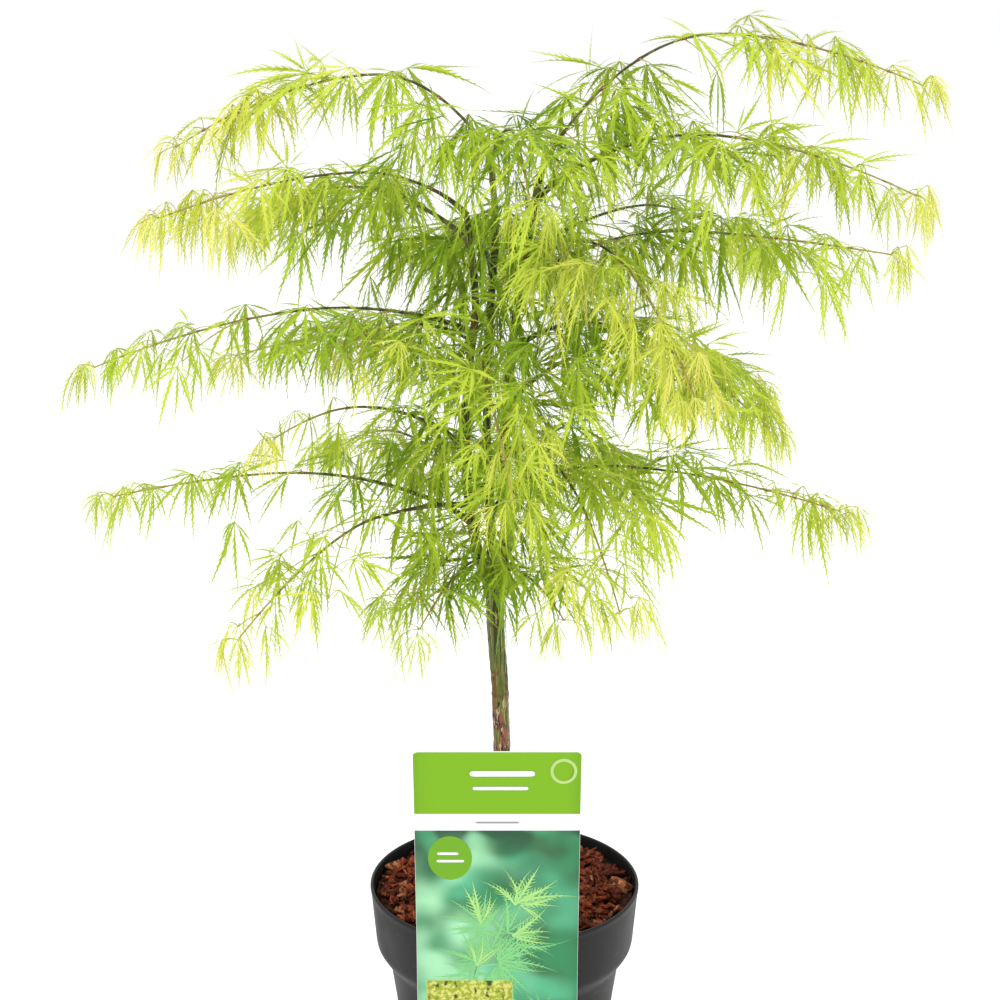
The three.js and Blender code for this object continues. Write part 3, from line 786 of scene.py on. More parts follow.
def leaf_mesh(name, leaves):
    """Many leaves as one mesh: each is a fan of toothed lobes, and each lobe bends down as an arc."""
    along_full, along_lace, wide_full, wide_lace, faces = lobe_template()
    foot, axis, across, length, youth, _, droop = (np.array(column, float) for column in zip(*leaves))
    count, lobes = len(leaves), len(LOBE_TURNS)
    each = (count, lobes)
    hanging = np.clip(droop / (np.pi / 2), 0, 1)[:, None]
    spread = rng.uniform(0.8, 1.1, (count, 1)) * lerp(OPENING, hanging)
    turn = LOBE_TURNS[None] * spread + rng.normal(0, 0.12, each)
    size = length[:, None] * LOBE_SIZES[None] * rng.uniform(0.78, 1.14, each)
    cos, sin = np.cos(turn)[..., None], np.sin(turn)[..., None]
    ahead = axis[:, None] * cos + across[:, None] * sin
    beside = -axis[:, None] * sin + across[:, None] * cos
    cup = rng.normal(0.1, 0.35, (count, 1, 1)) * np.abs(sin) + rng.normal(0, 0.12, (*each, 1))
    ahead = unit(ahead + cup * np.cross(ahead, beside))

    # each lobe starts along ahead, rising at the angle start, and bends down in an upright plane
    start = np.arcsin(np.clip(ahead[..., 2], -0.999, 0.999))
    out = unit(ahead * [1, 1, 0] + 0.001 * axis[:, None] * [1, 1, 0])
    level_side = np.cross(UP, out)
    above = np.cross(out, level_side) * np.cos(start)[..., None] - out * np.sin(start)[..., None]
    roll = np.arctan2((beside * above).sum(-1), (beside * level_side).sum(-1)) + rng.normal(0, 0.45, each)
    least, most = lerp(np.array(LOBE_BEND)[:, :, None, None], np.clip(youth, 0, 1)[:, None])
    bend = np.radians(least + (most - least) * rng.random(each)) * lerp((HELD_BEND, 1.0), hanging)
    bend = np.clip(bend, 0.05, np.maximum(start + np.pi / 2, 0.06))

    y = np.clip(youth, 0, 1)[:, None, None]
    s = along_full * (1 - y) + along_lace * y + 0 * size[..., None]           # leaf, lobe, point
    w = wide_full * (1 - y) + wide_lace * y + 0 * size[..., None]
    start, bend, roll = start[..., None], bend[..., None], roll[..., None]
    angle = start - bend * s
    level_way = ((np.sin(start) - np.sin(angle)) / bend)[..., None]
    upright_way = ((np.cos(angle) - np.cos(start)) / bend)[..., None]
    out, level_side = out[:, :, None], level_side[:, :, None]
    above = UP * np.cos(angle)[..., None] - out * np.sin(angle)[..., None]
    cross_way = level_side * np.cos(roll)[..., None] + above * np.sin(roll)[..., None]
    face_way = above * np.cos(roll)[..., None] - level_side * np.sin(roll)[..., None]
    curl = rng.normal(0, 0.13, (*each, 1))
    fold = rng.uniform(0.05, 0.5, (*each, 1))
    points = foot[:, None, None] + size[..., None, None] * (
        out * level_way + UP * upright_way + (w + curl * s ** 2)[..., None] * cross_way
        + (fold * np.abs(w))[..., None] * face_way)
    starts = np.arange(count * lobes)[:, None, None] * len(along_full)
    return new_mesh(name, points.reshape(-1, 3), (faces[None] + starts).reshape(-1, 3))


# ------------------------------------------------------------------ stalks and twigs, by geometry nodes


def twig_tree():
    """Gives every line of a curve object a round section, as thick as the line's own radius."""
    tree, start, end = new_tree(
        "round_twigs", "GeometryNodeTree",
        [("Geometry", "Geometry", None), ("Sides", "Int", 5), ("Material", "Material", None)],
        [("Geometry", "Geometry", None)])
    section = tree.nodes.new("GeometryNodeCurvePrimitiveCircle")
    section.inputs["Radius"].default_value = 1.0
    sweep = tree.nodes.new("GeometryNodeCurveToMesh")
    sweep.inputs["Fill Caps"].default_value = True
    realize = tree.nodes.new("GeometryNodeRealizeInstances")
    paint = tree.nodes.new("GeometryNodeSetMaterial")
    wire(tree, (start, "Geometry", sweep, "Curve"), (start, "Sides", section, "Resolution"),
         (section, "Curve", sweep, "Profile Curve"), (sweep, "Mesh", realize, "Geometry"),
         (realize, "Geometry", paint, "Geometry"), (start, "Material", paint, "Material"),
         (tree.nodes.new("GeometryNodeInputRadius"), "Radius", sweep, "Scale"), (paint, "Geometry", end, "Geometry"))
    return tree


def run_tree(source, tree, values):
    """Runs a geometry tree on an object and returns the result as a plain mesh. The source is removed."""
    modifier = source.modifiers.new("grow", "NODES")
    modifier.node_group = tree
    for item in tree.interface.items_tree:
        if item.in_out == "INPUT" and item.name in values:
            modifier[item.identifier] = values[item.name]
    return final_mesh(source)


def twig_mesh(name, twigs, tree, sides, material):
    """Many tapering lines as one mesh."""
    curves = bpy.data.curves.new(name, "CURVE")
    curves.dimensions = "3D"
    for points, radii in twigs:
        spline = curves.splines.new("POLY")
        spline.points.add(len(points) - 1)
        spline.points.foreach_set("co", np.hstack([points, np.ones((len(points), 1))]).ravel())
        spline.points.foreach_set("radius", np.asarray(radii, float))
    return run_tree(show(name, curves), tree, {"Sides": sides, "Material": material})


# ------------------------------------------------------------------ trunk, stems and boughs

# Bark of each kind of limb: sides round it, gap between its rings, height of the knuckles at its nodes, and its
# lumps as waves takes them.
Bark = namedtuple("Bark", "sides step knuckle lumps")
TRUNK_BARK = Bark(40, 1.1 * MM, 0.3 * MM,
                  [(0.05, 1, 90), (0.035, 3, 60), (0.03, 5, 140), (0.02, 9, 60), (0.018, 7, 700)])
STEM_BARK = Bark(24, 1.3 * MM, 0.4 * MM, [(0.05, 2, 110), (0.03, 5, 90), (0.02, 3, 500)])
BOUGH_BARK = Bark(12, 1.6 * MM, 0.4 * MM, [(0.06, 2, 150), (0.04, 3, 300), (0.02, 1, 800)])
BOUGH_RADIUS = (1.5 * MM, 2.2 * MM)    # least and most at the root of a bough that has a solid
TWIGGY_RADIUS = 1.1 * MM               # and of one that has none


def build_wood(crown):
    """The trunk, the stems and the boughs, and everything that grows on them."""
    bark, olive = trunk_material(), bough_material()
    trunk, trunk_radii = upright_line("trunk")
    foot = trunk.points[0] - UP * 3 * MM
    trunk = Line(np.vstack([foot, trunk.points, trunk.points[-1] + trunk.heading(trunk.length) * 2 * MM]))
    girth = np.concatenate([[trunk_radii[0]], trunk_radii, [trunk_radii[-1]]])
    scars = np.arange(45 * MM, trunk.length - 20 * MM, 52 * MM)
    mesh = limb_mesh("trunk_bark", trunk, lambda d: np.interp(d, trunk.reach, girth), TRUNK_BARK, scars)
    add_piece("trunk_bark", mesh, bark, ["trunk"])

    stems = []
    fork = trunk.at(trunk.length - 9 * MM)
    for name in STEMS:
        line, radii = upright_line(name)
        whole = Line(np.vstack([fork, line.points])).smoothed(3 * MM, 3)
        along = np.linspace(0, whole.length, len(radii))
        buds = crown.grow_heart(whole)
        mesh = limb_mesh(f"{name}_bark", whole, lambda d, along=along, radii=radii: np.interp(d, along, radii),
                         STEM_BARK, buds)
        add_piece(f"{name}_bark", mesh, bark, [name])
        stems.append(line)

    names = [n.removeprefix("foliage_").removesuffix("_inner") for n in sorted(frame["nodes"])
             if n.startswith("foliage_") and not n.endswith("_outer")]
    for name in names:
        line, leafy_from, depth = bough_line(name, stems)
        tint, gap, young = HABIT.get(name, HABIT_BEHIND)
        size_share = min(max(depth / FULL_DEPTH, SHORT_SIZE), FULL_SIZE)
        places = crown.grow(line, max(leafy_from - 10 * MM, 15 * MM), size_share, tint, gap, young)
        node = f"bough_{name}"
        limb = [node] if node in frame["nodes"] else []
        root = TWIGGY_RADIUS
        if limb:
            root = np.clip(np.ptp(node_edges(node).reshape(-1, 3), axis=0).min() / 2, *BOUGH_RADIUS)
        stops = [0, leafy_from / line.length, 1]

        def radius_at(d, root=root, stops=stops, length=line.length):
            return np.interp(d / length, stops, [root, *SHOOT_RADIUS]) + 0.9 * MM * np.exp(-d / (5 * MM))

        mesh = limb_mesh(f"{name}_wood", line, radius_at, BOUGH_BARK, places)
        add_piece(f"{name}_wood", mesh, olive, limb)


def build_crown(crown):
    """Leaf pieces by tone, and the twigs and stalks that carry them."""
    tones = list(TONES)
    tint = np.array([leaf.tint for leaf in crown.leaves])
    tint = tint + rng.normal(0, TINT_SPREAD, len(tint))
    from_axis = np.linalg.norm([leaf.foot[:2] for leaf in crown.leaves], axis=1)
    tint = tint - SHADE_TINT * np.clip(1 - from_axis / SHADE_RADIUS, 0, 1)
    tone = np.clip(tint * len(tones), 0, len(tones) - 1).astype(int)

    masses = {name: [] for name in tones}
    for part in frame["record"]["subparts"]:
        if part["node"].startswith("foliage_"):
            masses[part["material_slot"]].append(part["node"])
    for i, name in enumerate(tones):
        chosen = [leaf for leaf, t in zip(crown.leaves, tone) if t == i]
        material = Material(f"{name}_green", TONES[name], 0.55, 0.12).data
        lots = math.ceil(len(chosen) / LEAVES_IN_PIECE)
        for k in range(lots):
            title = f"{name}_spray_{k + 1}"
            lot = chosen[len(chosen) * k // lots:len(chosen) * (k + 1) // lots]
            add_piece(title, leaf_mesh(title, lot), material, masses[name] if k == 0 else (), smooth=False)
    tree, skin = twig_tree(), shoot_material()
    add_piece("side_shoots", twig_mesh("side_shoots", crown.twigs, tree, 6, skin), skin)
    add_piece("leaf_stalks", twig_mesh("leaf_stalks", crown.stalks, tree, 4, skin), skin)


# ------------------------------------------------------------------ pot

DRAIN_INSET = 16 * MM        # of the drain holes' centres from the foot's edge


def spun(name, profile, segments=120, jitter=None):
    """A closed shape turned about the pot's axis, from (radius, height) pairs that start and end on it."""
    profile = np.array(profile, float)
    angle = around(segments)
    radius, height = profile[1:-1, :1], profile[1:-1, 1:]
    points = np.stack([radius * np.cos(angle), radius * np.sin(angle), height + 0 * angle], axis=-1)
    if jitter is not None:
        points = jitter(points)
    return new_mesh(name, *closed_rings(points, [0, 0, profile[0, 1]], [0, 0, profile[-1, 1]]))


def pot_sizes():
    """Read from the pot's solid: outer radius of foot, body, collar and lip, and height of the step's foot and
    top and of the rim."""
    edges = node_edges("pot")
    high = edges[..., 2].max()
    lip = np.linalg.norm(edges[..., :2], axis=-1).max()
    low = 2.5 * MM

    def outer(z):
        return np.linalg.norm(slice_of(edges, UP, z)[:, :2], axis=1).max()

    heights = np.linspace(low, high - 5 * MM, 120)
    jump = np.diff([outer(z) for z in heights])
    rising = np.flatnonzero(jump > 3 * np.median(np.abs(jump)))
    step_low, step_high = heights[rising[0]], heights[rising[-1] + 1]
    return outer(low), outer(step_low - 1 * MM), outer(step_high + 1 * MM), lip, step_low, step_high, high


def build_pot():
    """A thin shell with a stepped collar, a rolled lip and drain holes. The outline is in mm."""
    foot, body, collar, lip, step_low, step_high, high = (size / MM for size in pot_sizes())
    wall, base = 2.0, 2.6
    rib, at_rib = 0.62 * step_low, lerp((foot, body), 0.62)
    outside = [
        (0, 1), (foot - 10, 1), (foot - 8, 0), (foot - 2.4, 0), (foot - 1, 0.4), (foot - 0.2, 1.6), (foot + 0.1, 3),
        (at_rib, rib - 1.3), (at_rib + 0.3, rib), (at_rib, rib + 1.3), (body - 0.3, step_low - 3),
        (body + 0.3, step_low - 0.4), (body + 1.4, step_low + 1.2),
        (lerp((body, collar), 0.5), lerp((step_low, step_high), 0.42)), (collar - 1.9, step_high - 2.4),
        (collar - 0.7, step_high - 0.2), (collar - 0.1, step_high + 2), (collar + 0.2, step_high + 4),
        (lip - 0.7, high - 6), (lip - 0.45, high - 3.6), (lip - 0.1, high - 2.8), (lip, high - 1.9),
        (lip - 0.05, high - 0.9), (lip - 0.35, high - 0.25), (lip - 0.8, high),
    ]
    inside = [
        (lip - 1.5, high), (lip - 2, high - 0.3), (lip - 2.3, high - 1.2), (lip - 2.6, high - 6),
        (collar - wall, step_high), (body - wall, step_low), (foot - wall, 3), (foot - wall - 1, base), (0, base),
    ]
    shell = show("pot_blank", spun("pot_shell", np.array(outside + inside) * MM))
    drill = shell.modifiers.new("drain", "BOOLEAN")
    drill.operation, drill.solver = "DIFFERENCE", "EXACT"
    drill.object = cutters = drain_cutters(foot * MM - DRAIN_INSET)
    add_piece("nursery_pot", final_mesh(shell), pot_material(), ["pot"])
    bpy.data.objects.remove(cutters)


def drain_cutters(spread, count=8, radius=5 * MM, sides=20):
    """One mesh of upright rods where the drain holes go, in a circle of radius spread."""
    rods = []
    for turn in around(count) + math.pi / count:
        centre = np.array([math.cos(turn), math.sin(turn), 0]) * spread
        rod = Line([centre - UP * 6 * MM, centre, centre + UP * 6 * MM])
        rods.append(tube(rod, np.array([0, 6, 12]) * MM, np.full((3, sides), radius)))
    return show("drain_rods", new_mesh("drain_rods", *joined(rods)))


# ------------------------------------------------------------------ compost and bark chips

CHIP_SHAPES = 9
CHIP_KINDS = {               # colour and paler grain of three kinds of bark chip, and how many of each
    "red_chips": ((0.18, 0.037, 0.011), (0.35, 0.085, 0.03), 420),
    "brown_chips": ((0.08, 0.016, 0.006), (0.19, 0.042, 0.016), 430),
    "pale_chips": ((0.28, 0.09, 0.038), (0.48, 0.2, 0.1), 90),
}


def build_compost():
    """A lumpy bed under the chips, and the chips on it."""
    low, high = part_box("compost")
    edges = node_edges("compost")

    def radius(z):
        return float(np.linalg.norm(slice_of(edges, UP, z)[:, :2], axis=1).max())

    top = high.z
    rim = radius(top - 3.4 * MM)
    side = [(radius(z), z) for z in np.linspace(low.z + 1 * MM, top - 4 * MM, 9)]
    surface = [(rim * share, top - 3 * MM - 1.5 * MM * share) for share in np.linspace(0.985, 0.03, 26)]

    def lumpy(points):
        upper = points[..., 2] > top - 6 * MM
        x, y = points[..., 0], points[..., 1]
        swell = 0.8 * np.sin(x * 260 + 1.3) * np.cos(y * 310) + 0.6 * np.sin(x * 610 + y * 480)
        points[..., 2] += np.where(upper, swell * MM, 0)
        return points

    profile = [(0, low.z), (side[0][0] * 0.5, low.z), *side, *surface, (0, top - 3 * MM)]
    mesh = spun("compost_bed", profile, 90, lumpy)
    add_piece("compost_bed", mesh, compost_material(), ["compost"])
    build_chips(rim, top)


def chip_shape(name, seed):
    """A split flake of bark one unit long, thin and straight-sided, with ragged ends."""
    chance = np.random.default_rng(seed)
    width, thick = chance.uniform(0.3, 0.62), chance.uniform(0.09, 0.2)
    rows = 5
    cut = chance.normal(0, 0.12, 2)
    slants = [cut[0], *[0] * (rows - 2), cut[1]]
    points = []
    for i, slant in enumerate(slants):
        x = i / (rows - 1) - 0.5
        pinch = 1 - 0.4 * abs(2 * x) ** 3 * chance.uniform(0.2, 1)
        lift = 0.05 * math.sin(i * 1.7 + seed)
        skew = chance.normal(0, 0.03)
        for y, z in ((-1, -1), (1, -1), (1, 1), (-1, 1)):
            points.append((x + slant * y + chance.normal(0, 0.02),
                           skew + 0.5 * y * width * pinch + chance.normal(0, 0.02),
                           lift + 0.5 * z * thick * pinch + chance.normal(0, 0.015)))
    faces = []
    for i in range(rows - 1):
        for k in range(4):
            a, b = 4 * i + k, 4 * i + (k + 1) % 4
            faces.append((a, a + 4, b + 4, b))
    faces += [(0, 1, 2, 3), (4 * rows - 1, 4 * rows - 2, 4 * rows - 3, 4 * rows - 4)]
    return new_mesh(name, np.array(points), np.array(faces))


def chip_tree():
    """Scatters chips over a flat disc, turned and sized at random, with each lying near flat."""
    tree, start, end = new_tree(
        "scattered_chips", "GeometryNodeTree",
        [("Geometry", "Geometry", None), ("Chips", "Collection", None), ("Count per m2", "Float", 10000.0),
         ("Smallest", "Float", 5 * MM), ("Largest", "Float", 17 * MM), ("Pile", "Float", 3 * MM),
         ("Seed", "Int", 1), ("Material", "Material", None)],
        [("Geometry", "Geometry", None)])
    add = tree.nodes.new

    def random(kind, low, high, stream):
        """A random number or vector for each point. An end given as a name is read from that input."""
        node, seed = add("FunctionNodeRandomValue"), add("FunctionNodeIntegerMath")
        node.data_type, seed.operation = kind, "ADD"
        seed.inputs[1].default_value = stream
        least, most, result = {"FLOAT": (2, 3, 1), "FLOAT_VECTOR": (0, 1, 0)}[kind]
        wire(tree, (start, "Seed", seed, 0), (seed, 0, node, "Seed"))
        for socket, value in ((least, low), (most, high)):
            if isinstance(value, str):
                wire(tree, (start, value, node, socket))
            else:
                node.inputs[socket].default_value = value
        return node, result

    scatter, place = add("GeometryNodeDistributePointsOnFaces"), add("GeometryNodeInstanceOnPoints")
    place.inputs["Pick Instance"].default_value = True
    chips = add("GeometryNodeCollectionInfo")
    chips.inputs["Separate Children"].default_value = True
    chips.inputs["Reset Children"].default_value = True
    shift, stack = add("GeometryNodeSetPosition"), add("ShaderNodeCombineXYZ")
    realize, paint = add("GeometryNodeRealizeInstances"), add("GeometryNodeSetMaterial")
    wire(tree, (start, "Geometry", scatter, "Mesh"), (start, "Count per m2", scatter, "Density"),
         (start, "Seed", scatter, "Seed"), (*random("FLOAT", 0.0, "Pile", 1), stack, "Z"),
         (scatter, "Points", shift, "Geometry"), (stack, "Vector", shift, "Offset"),
         (shift, "Geometry", place, "Points"), (start, "Chips", chips, "Collection"),
         (chips, "Instances", place, "Instance"),
         (*random("FLOAT_VECTOR", (-0.7, -0.6, 0.0), (0.7, 0.6, 6.28), 2), place, "Rotation"),
         (*random("FLOAT", "Smallest", "Largest", 3), place, "Scale"),
         (place, "Instances", realize, "Geometry"), (realize, "Geometry", paint, "Geometry"),
         (start, "Material", paint, "Material"), (paint, "Geometry", end, "Geometry"))
    return tree


def build_chips(rim, top):
    """Chips of each kind, scattered over a flat ring round the trunk."""
    shapes = bpy.data.collections.new("chip_shapes")
    for i in range(CHIP_SHAPES):
        shapes.objects.link(bpy.data.objects.new(f"chip_{i}", chip_shape(f"chip_{i}", 11 + i)))
    tree = chip_tree()
    outer, inner, sides = rim - 6.5 * MM, 9 * MM, 64
    area = math.pi * (outer ** 2 - inner ** 2)
    angle, turn = around(sides), np.arange(sides)
    circle = np.stack([np.cos(angle), np.sin(angle), 0 * angle], 1)
    disc = np.vstack([circle * inner, circle * outer]) + UP * (top - 2.5 * MM)
    onward = (turn + 1) % sides
    ring = np.stack([turn, turn + sides, onward + sides, onward], 1)
    for i, (name, (colour, pale, count)) in enumerate(CHIP_KINDS.items()):
        material = chip_material(name.replace("chips", "bark_fibre"), colour, pale)
        mesh = run_tree(show(name, new_mesh(name, disc, ring)), tree, {
            "Chips": shapes, "Count per m2": count / area, "Seed": 5 + 3 * i, "Material": material})
        add_piece(name, mesh, material, smooth=False)
    for shape in list(shapes.objects):
        bpy.data.objects.remove(shape)
    bpy.data.collections.remove(shapes)


# ------------------------------------------------------------------ picture label

INK = 0.08 * MM              # thickness of a printed field
CARD = 0.9 * MM              # and of the card
MARGIN = 0.2 * MM            # of the card's edge beside the printed fields
HEADER_END, BAND_END = 0.203, 0.258    # shares of the card's height from the top
INSET_FROM = (6 * MM, 5 * MM)          # lower left corner of the small picture's frame, from the card's own
INSET_TO = (0.6, 0.245)                # its upper right corner, as shares of the card from there
# Place across and down, outer and inner radius, and height for its width, of a spot on the picture and a ring on
# the header.
SPOT = ((0.213, 0.35), 14.4 * MM, 0, 1.22)
RING = ((0.895, 0.062), 8.6 * MM, 6.6 * MM, 1.15)
INKS = {
    "white": (0.86, 0.87, 0.86), "green": (0.185, 0.4, 0.014), "spot": (0.15, 0.36, 0.02),
    "pale_green": (0.42, 0.58, 0.2), "pale_leaf": (0.36, 0.66, 0.22), "bright_leaf": (0.22, 0.58, 0.22),
    "grey": (0.3, 0.3, 0.3),
}


class Card:
    """The label's front face, read from its solid: a point on it for each place across and height."""

    def __init__(self):
        edges = node_edges("plant_label")
        self.low, self.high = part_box("plant_label")
        self.levels = np.linspace(self.low.z + 0.2 * MM, self.high.z - 0.2 * MM, 60)
        cuts = [slice_of(edges, UP, z) for z in self.levels]
        self.fronts = np.array([cut[:, 1].min() for cut in cuts])
        self.width = self.high.x - self.low.x
        self.height = self.high.z - self.low.z

    def point(self, x, z, lift=0.0):
        """Where a place on the front is, or a point lifted off it."""
        z = np.asarray(z, float)
        y = np.interp(z, self.levels, self.fronts)
        lean = np.interp(z, self.levels, np.gradient(self.fronts, self.levels))
        norm = np.sqrt(1 + lean ** 2)
        return np.stack([x + 0 * z, y - lift / norm, z + lift * lean / norm], axis=-1)

    def shares(self, across, down):
        """Coordinates on the card of a place given as shares of its width and height from the top left."""
        return self.low.x + np.asarray(across) * self.width, self.high.z - np.asarray(down) * self.height

    def sheet(self, x_range, z_range, lift, thick, rows=40, columns=8, corner=0.0):
        """A thin closed sheet that follows the card, with round corners if a radius is given."""
        z = lerp(z_range, np.linspace(0, 1, rows + 1))
        inset = np.zeros_like(z)
        if corner:
            edge = np.minimum(z - z_range[0], z_range[1] - z)
            near = np.clip(edge, 0, corner)
            inset = corner - np.sqrt(np.maximum(corner ** 2 - (corner - near) ** 2, 0))
        left, width = x_range[0] + inset, x_range[1] - x_range[0] - 2 * inset
        x = left[:, None] + width[:, None] * np.linspace(0, 1, columns + 1)
        outer, inner = (self.point(x, z[:, None] + 0 * x, off).reshape(-1, 3) for off in (lift + thick, lift))
        n, w = len(outer), columns + 1
        row, column = np.meshgrid(np.arange(rows), np.arange(columns), indexing="ij")
        a = (row * w + column).ravel()
        front = np.stack([a, a + 1, a + 1 + w, a + w], 1)
        back = front[:, ::-1] + n
        loop = np.concatenate([np.arange(w), np.arange(1, rows + 1) * w + columns,
                               rows * w + np.arange(columns - 1, -1, -1), np.arange(rows - 1, 0, -1) * w])
        following = np.roll(loop, -1)
        border = np.stack([following, loop, loop + n, following + n], 1)
        return np.vstack([outer, inner]), np.concatenate([front, back, border])


def drawn_leaf(card, place, size, turn, chance, lobes=9, spread=0.8, feather=1.5, lift=0.28 * MM):
    """A flat feathery leaf drawn on the card, with its foot at a share of the card's width and height."""
    _, s, _, w, faces = lobe_template()
    foot_x, foot_z = card.shares(*place)
    points, all_faces = [], []
    for k in range(lobes):
        angle = turn + spread * LOBE_TURNS[k] + chance.normal(0, 0.14)
        reach = size * LOBE_SIZES[k] ** 0.6 * chance.uniform(0.7, 1.1)
        side = feather * w + chance.normal(0, 0.25) * s ** 2
        x = foot_x + reach * (s * math.sin(angle) + side * math.cos(angle))
        z = foot_z + reach * (s * math.cos(angle) - side * math.sin(angle))
        all_faces.append(faces[:, ::-1] + k * len(s))
        points.append(card.point(x, z, lift + 0.01 * MM * k))
    return np.vstack(points), np.concatenate(all_faces)


def drawn_stem(card, start, bend, end, width, lift=0.2 * MM):
    """A thin stem drawn on the card as a curve through three places, tapering to its end."""
    t = np.linspace(0, 1, 14)
    start, bend, end = (np.array(card.shares(*place)) for place in (start, bend, end))
    path = np.outer((1 - t) ** 2, start) + np.outer(2 * t * (1 - t), bend) + np.outer(t ** 2, end)
    ahead = unit(np.gradient(path, axis=0))
    half = (width * (1 - 0.6 * t) / 2)[:, None] * np.stack([-ahead[:, 1], ahead[:, 0]], 1)
    edges = np.vstack([path + half, path - half])
    a = np.arange(len(t) - 1)
    b = a + len(t)
    faces = np.concatenate([np.stack([a, b, b + 1], 1), np.stack([a, b + 1, a + 1], 1)])
    return card.point(edges[:, 0], edges[:, 1], lift), faces


def ring_print(card, place, outer, inner, tall, lift=0.3 * MM, sides=48, rows=8):
    """A flat printed ring that follows the card, or a full spot if inner is 0."""
    turn = around(sides)
    x, z = card.shares(*place)
    radii = np.linspace(outer, max(inner, 0.02 * MM), rows)
    rims = [card.point(x + r * np.cos(turn), z + tall * r * np.sin(turn), lift) for r in radii]
    return np.vstack(rims), ring_walls(rows, sides)


# Feathery leaves of the label's picture: foot as shares of the card across and down, length in mm, and the
# way that they point, in degrees clockwise from up.
NEAR_LEAVES = [(0.61, 0.51, 33, 3), (0.62, 0.5, 37, 50), (0.64, 0.51, 30, 92), (0.4, 0.57, 35, -3),
               (0.59, 0.61, 32, 76), (0.37, 0.71, 27, 20)]
FAR_LEAVES = [(0.42, 0.58, 38, -50), (0.4, 0.6, 30, 32), (0.38, 0.7, 30, -76), (0.36, 0.69, 28, -30),
              (0.51, 0.7, 38, 88), (0.5, 0.69, 38, 62), (0.48, 0.72, 33, 124), (0.34, 0.74, 26, -114),
              (0.76, 0.86, 20, 30), (0.8, 0.92, 18, -30), (0.56, 0.6, 36, 38), (0.62, 0.64, 33, 104),
              (0.46, 0.74, 32, 158), (0.45, 0.66, 34, 8)]
PICTURE_STEMS = [((0.3, 0.86), (0.36, 0.66), (0.64, 0.46)), ((0.42, 0.6), (0.55, 0.6), (0.82, 0.62)),
                 ((0.33, 0.78), (0.4, 0.7), (0.41, 0.54)), ((0.36, 0.72), (0.44, 0.7), (0.6, 0.71))]
# Plain bars where a label has words: centre across and down, and width and height in mm.
WHITE_BARS = [(0.53, 0.07, 42, 4.2), (0.52, 0.118, 36, 2.6), (0.2, 0.335, 14, 1.9), (0.215, 0.36, 18, 1.9)]
GREY_BARS = [(0.5, 0.231, 28, 1.3)]


def label_piece(name, parts, material, stands_for=()):
    add_piece(name, new_mesh(name, *joined(parts)), material, stands_for, smooth=False)


def build_label():
    """The card with its printed fields, its picture, bars in the place of words, and its tongue."""
    card = Card()
    chance = np.random.default_rng(4)
    left, right, bottom, top = card.low.x, card.high.x, card.low.z, card.high.z
    header, band = top - HEADER_END * card.height, top - BAND_END * card.height
    ink = {name: ink_material(name, colour) for name, colour in INKS.items()}

    def plate(name, x_range, z_range, lift, material, corner=0.0, stands_for=(), thick=INK, rows=24):
        label_piece(name, [card.sheet(x_range, z_range, lift, thick, rows, corner=corner)], material, stands_for)

    def bar(across, down, width, height):
        x, z = card.shares(across, down)
        half, tall = width / 2 * MM, height / 2 * MM
        return card.sheet((x - half, x + half), (z - tall, z + tall), 0.34 * MM, INK, rows=8, corner=tall)

    def leaves(table, *style):
        return [drawn_leaf(card, (across, down), length * MM, math.radians(turn), chance, *style)
                for across, down, length, turn in table]

    plate("label_card", (left, right), (bottom, top), -CARD, ink["white"], 2.6 * MM, ["plant_label"], CARD, 90)
    printed = (left + MARGIN, right - MARGIN)
    plate("label_header", printed, (header - 6 * MM, top - MARGIN), 0, ink["green"], 2.5 * MM, rows=40)
    plate("label_band", printed, (band - 1 * MM, header), INK, ink["white"])
    plate("label_picture", printed, (bottom + 2 * MARGIN, band), 1.1 * INK, picture_material())
    build_tongue(card, ink["white"])

    label_piece("label_spot", [ring_print(card, *SPOT)], ink["spot"])
    label_piece("label_ring", [ring_print(card, *RING)], ink["pale_green"])
    x = np.array([INSET_FROM[0], INSET_TO[0] * card.width]) + left
    z = np.array([INSET_FROM[1], INSET_TO[1] * card.height]) + bottom
    within = np.array([1, -1]) * MM
    plate("label_inset_frame", x, z, 0.2 * MM, ink["pale_green"])
    plate("label_inset", x + within, z + within, 0.3 * MM, inset_material())

    stems = [drawn_stem(card, *places, 1.0 * MM) for places in PICTURE_STEMS]
    label_piece("label_near_leaves", leaves(NEAR_LEAVES, 5, 0.6, 2.0, 0.44 * MM), ink["pale_leaf"])
    label_piece("label_far_leaves", leaves(FAR_LEAVES) + stems, ink["bright_leaf"])
    label_piece("label_white_bars", [bar(*row) for row in WHITE_BARS], ink["white"])
    label_piece("label_grey_bars", [bar(*row) for row in GREY_BARS], ink["grey"])


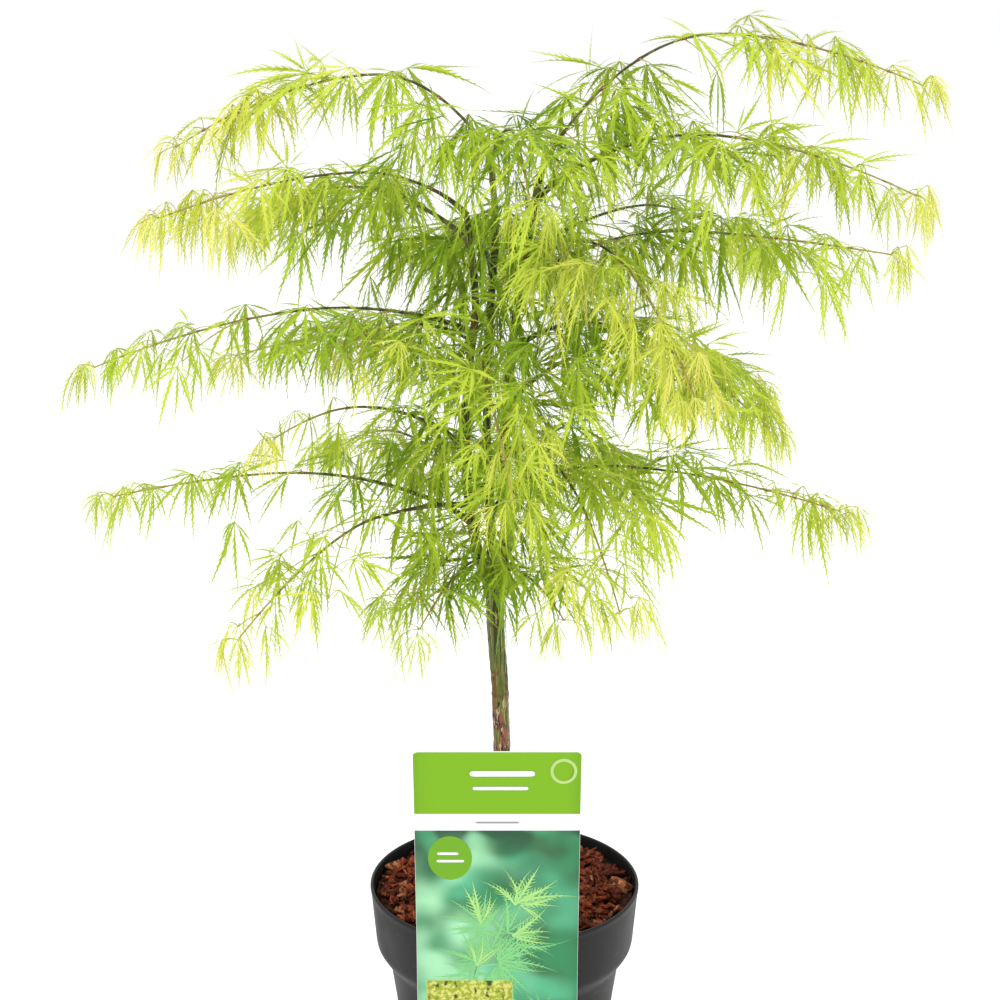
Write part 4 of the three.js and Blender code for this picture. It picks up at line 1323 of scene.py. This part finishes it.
def build_tongue(card, material):
    """The hook on the back of the card that goes over the pot's lip."""
    edges = node_edges("plant_label")
    back = edges[..., 1].max()
    cut = slice_of(edges, np.array([0, 1.0, 0]), back - 0.4 * MM)
    x_low, x_high = cut[:, 0].min(), cut[:, 0].max()
    z_low, z_high = cut[:, 2].min(), cut[:, 2].max()
    start = np.interp(z_high, card.levels, card.fronts) + 0.5 * MM
    bend = 1.6 * MM
    outer, upper = back - CARD / 2, z_high - CARD / 2
    arc = [(outer - bend + bend * math.cos(a), upper - bend + bend * math.sin(a))
           for a in np.linspace(np.pi / 2, 0, 8)]
    path = np.array([(start, upper), *arc, (outer, z_low + CARD)])
    ahead = unit(np.gradient(path, axis=0))
    normal = np.stack([-ahead[:, 1], ahead[:, 0]], 1) * CARD / 2
    outline = np.vstack([path + normal, (path - normal)[::-1]])
    count = len(outline)
    points = np.vstack([np.column_stack([np.full(count, x), outline]) for x in (x_low, x_high)])
    turn = np.arange(count)
    walls = np.stack([turn, np.roll(turn, -1), np.roll(turn, -1) + count, turn + count], 1)
    half = count // 2
    strips = np.arange(half - 1)
    side = np.stack([strips, count - 1 - strips, count - 2 - strips, strips + 1], 1)
    faces = np.concatenate([walls, side, side[:, ::-1] + count])
    label_piece("label_tongue", [(points, faces)], material)


# ------------------------------------------------------------------ studio

CAMERA_PLACE = (-0.0032, -1.519, 0.909)
CAMERA_DIP = 17.26           # degrees down from level
LIGHTS = {                   # place, size and power of each soft light
    "key": ((-1.0, -1.3, 1.9), 1.2, 17), "fill": ((1.5, -0.9, 1.2), 1.2, 8), "back": ((0.3, 1.6, 1.6), 1.4, 9),
}
LIGHTS_AIM = (0, 0, 0.45)
FLOOR_HALF = 6.0
FLOOR_GLOW = 0.14            # so that the white floor doesn't grey


def build_studio():
    """A camera, a white world, a white floor and three soft lights."""
    scene = bpy.context.scene
    lens = bpy.data.cameras.new("camera")
    lens.lens, lens.sensor_width = 85, 36
    scene.camera = camera = show("camera", lens)
    camera.location = CAMERA_PLACE
    camera.rotation_euler = (math.radians(90 - CAMERA_DIP), 0, 0)

    scene.world = world = bpy.data.worlds.new("soft_white")
    world.use_nodes = True
    world.node_tree.nodes["Background"].inputs["Color"].default_value = (1, 1, 1, 1)
    world.node_tree.nodes["Background"].inputs["Strength"].default_value = 1.0
    scene.view_settings.view_transform = "Standard"

    corners = np.array([(-1, -1, 0), (1, -1, 0), (1, 1, 0), (-1, 1, 0)]) * FLOOR_HALF - UP * 0.2 * MM
    floor = show("floor", new_mesh("floor", corners, [[0, 1, 2, 3]]))
    floor.data.materials.append(Material("white_floor", (0.95, 0.95, 0.95), 0.9, 0.0, Emission_Color=(1, 1, 1, 1),
                                         Emission_Strength=FLOOR_GLOW).data)

    for name, (place, size, power) in LIGHTS.items():
        data = bpy.data.lights.new(name, "AREA")
        data.size, data.energy = size, power
        light = show(name, data)
        light.location = place
        light.rotation_euler = (Vector(LIGHTS_AIM) - Vector(place)).to_track_quat("-Z", "Y").to_euler()


# ------------------------------------------------------------------ the plant

build_studio()
build_pot()
build_compost()
build_label()
crown = Crown()
build_wood(crown)
build_crown(crown)
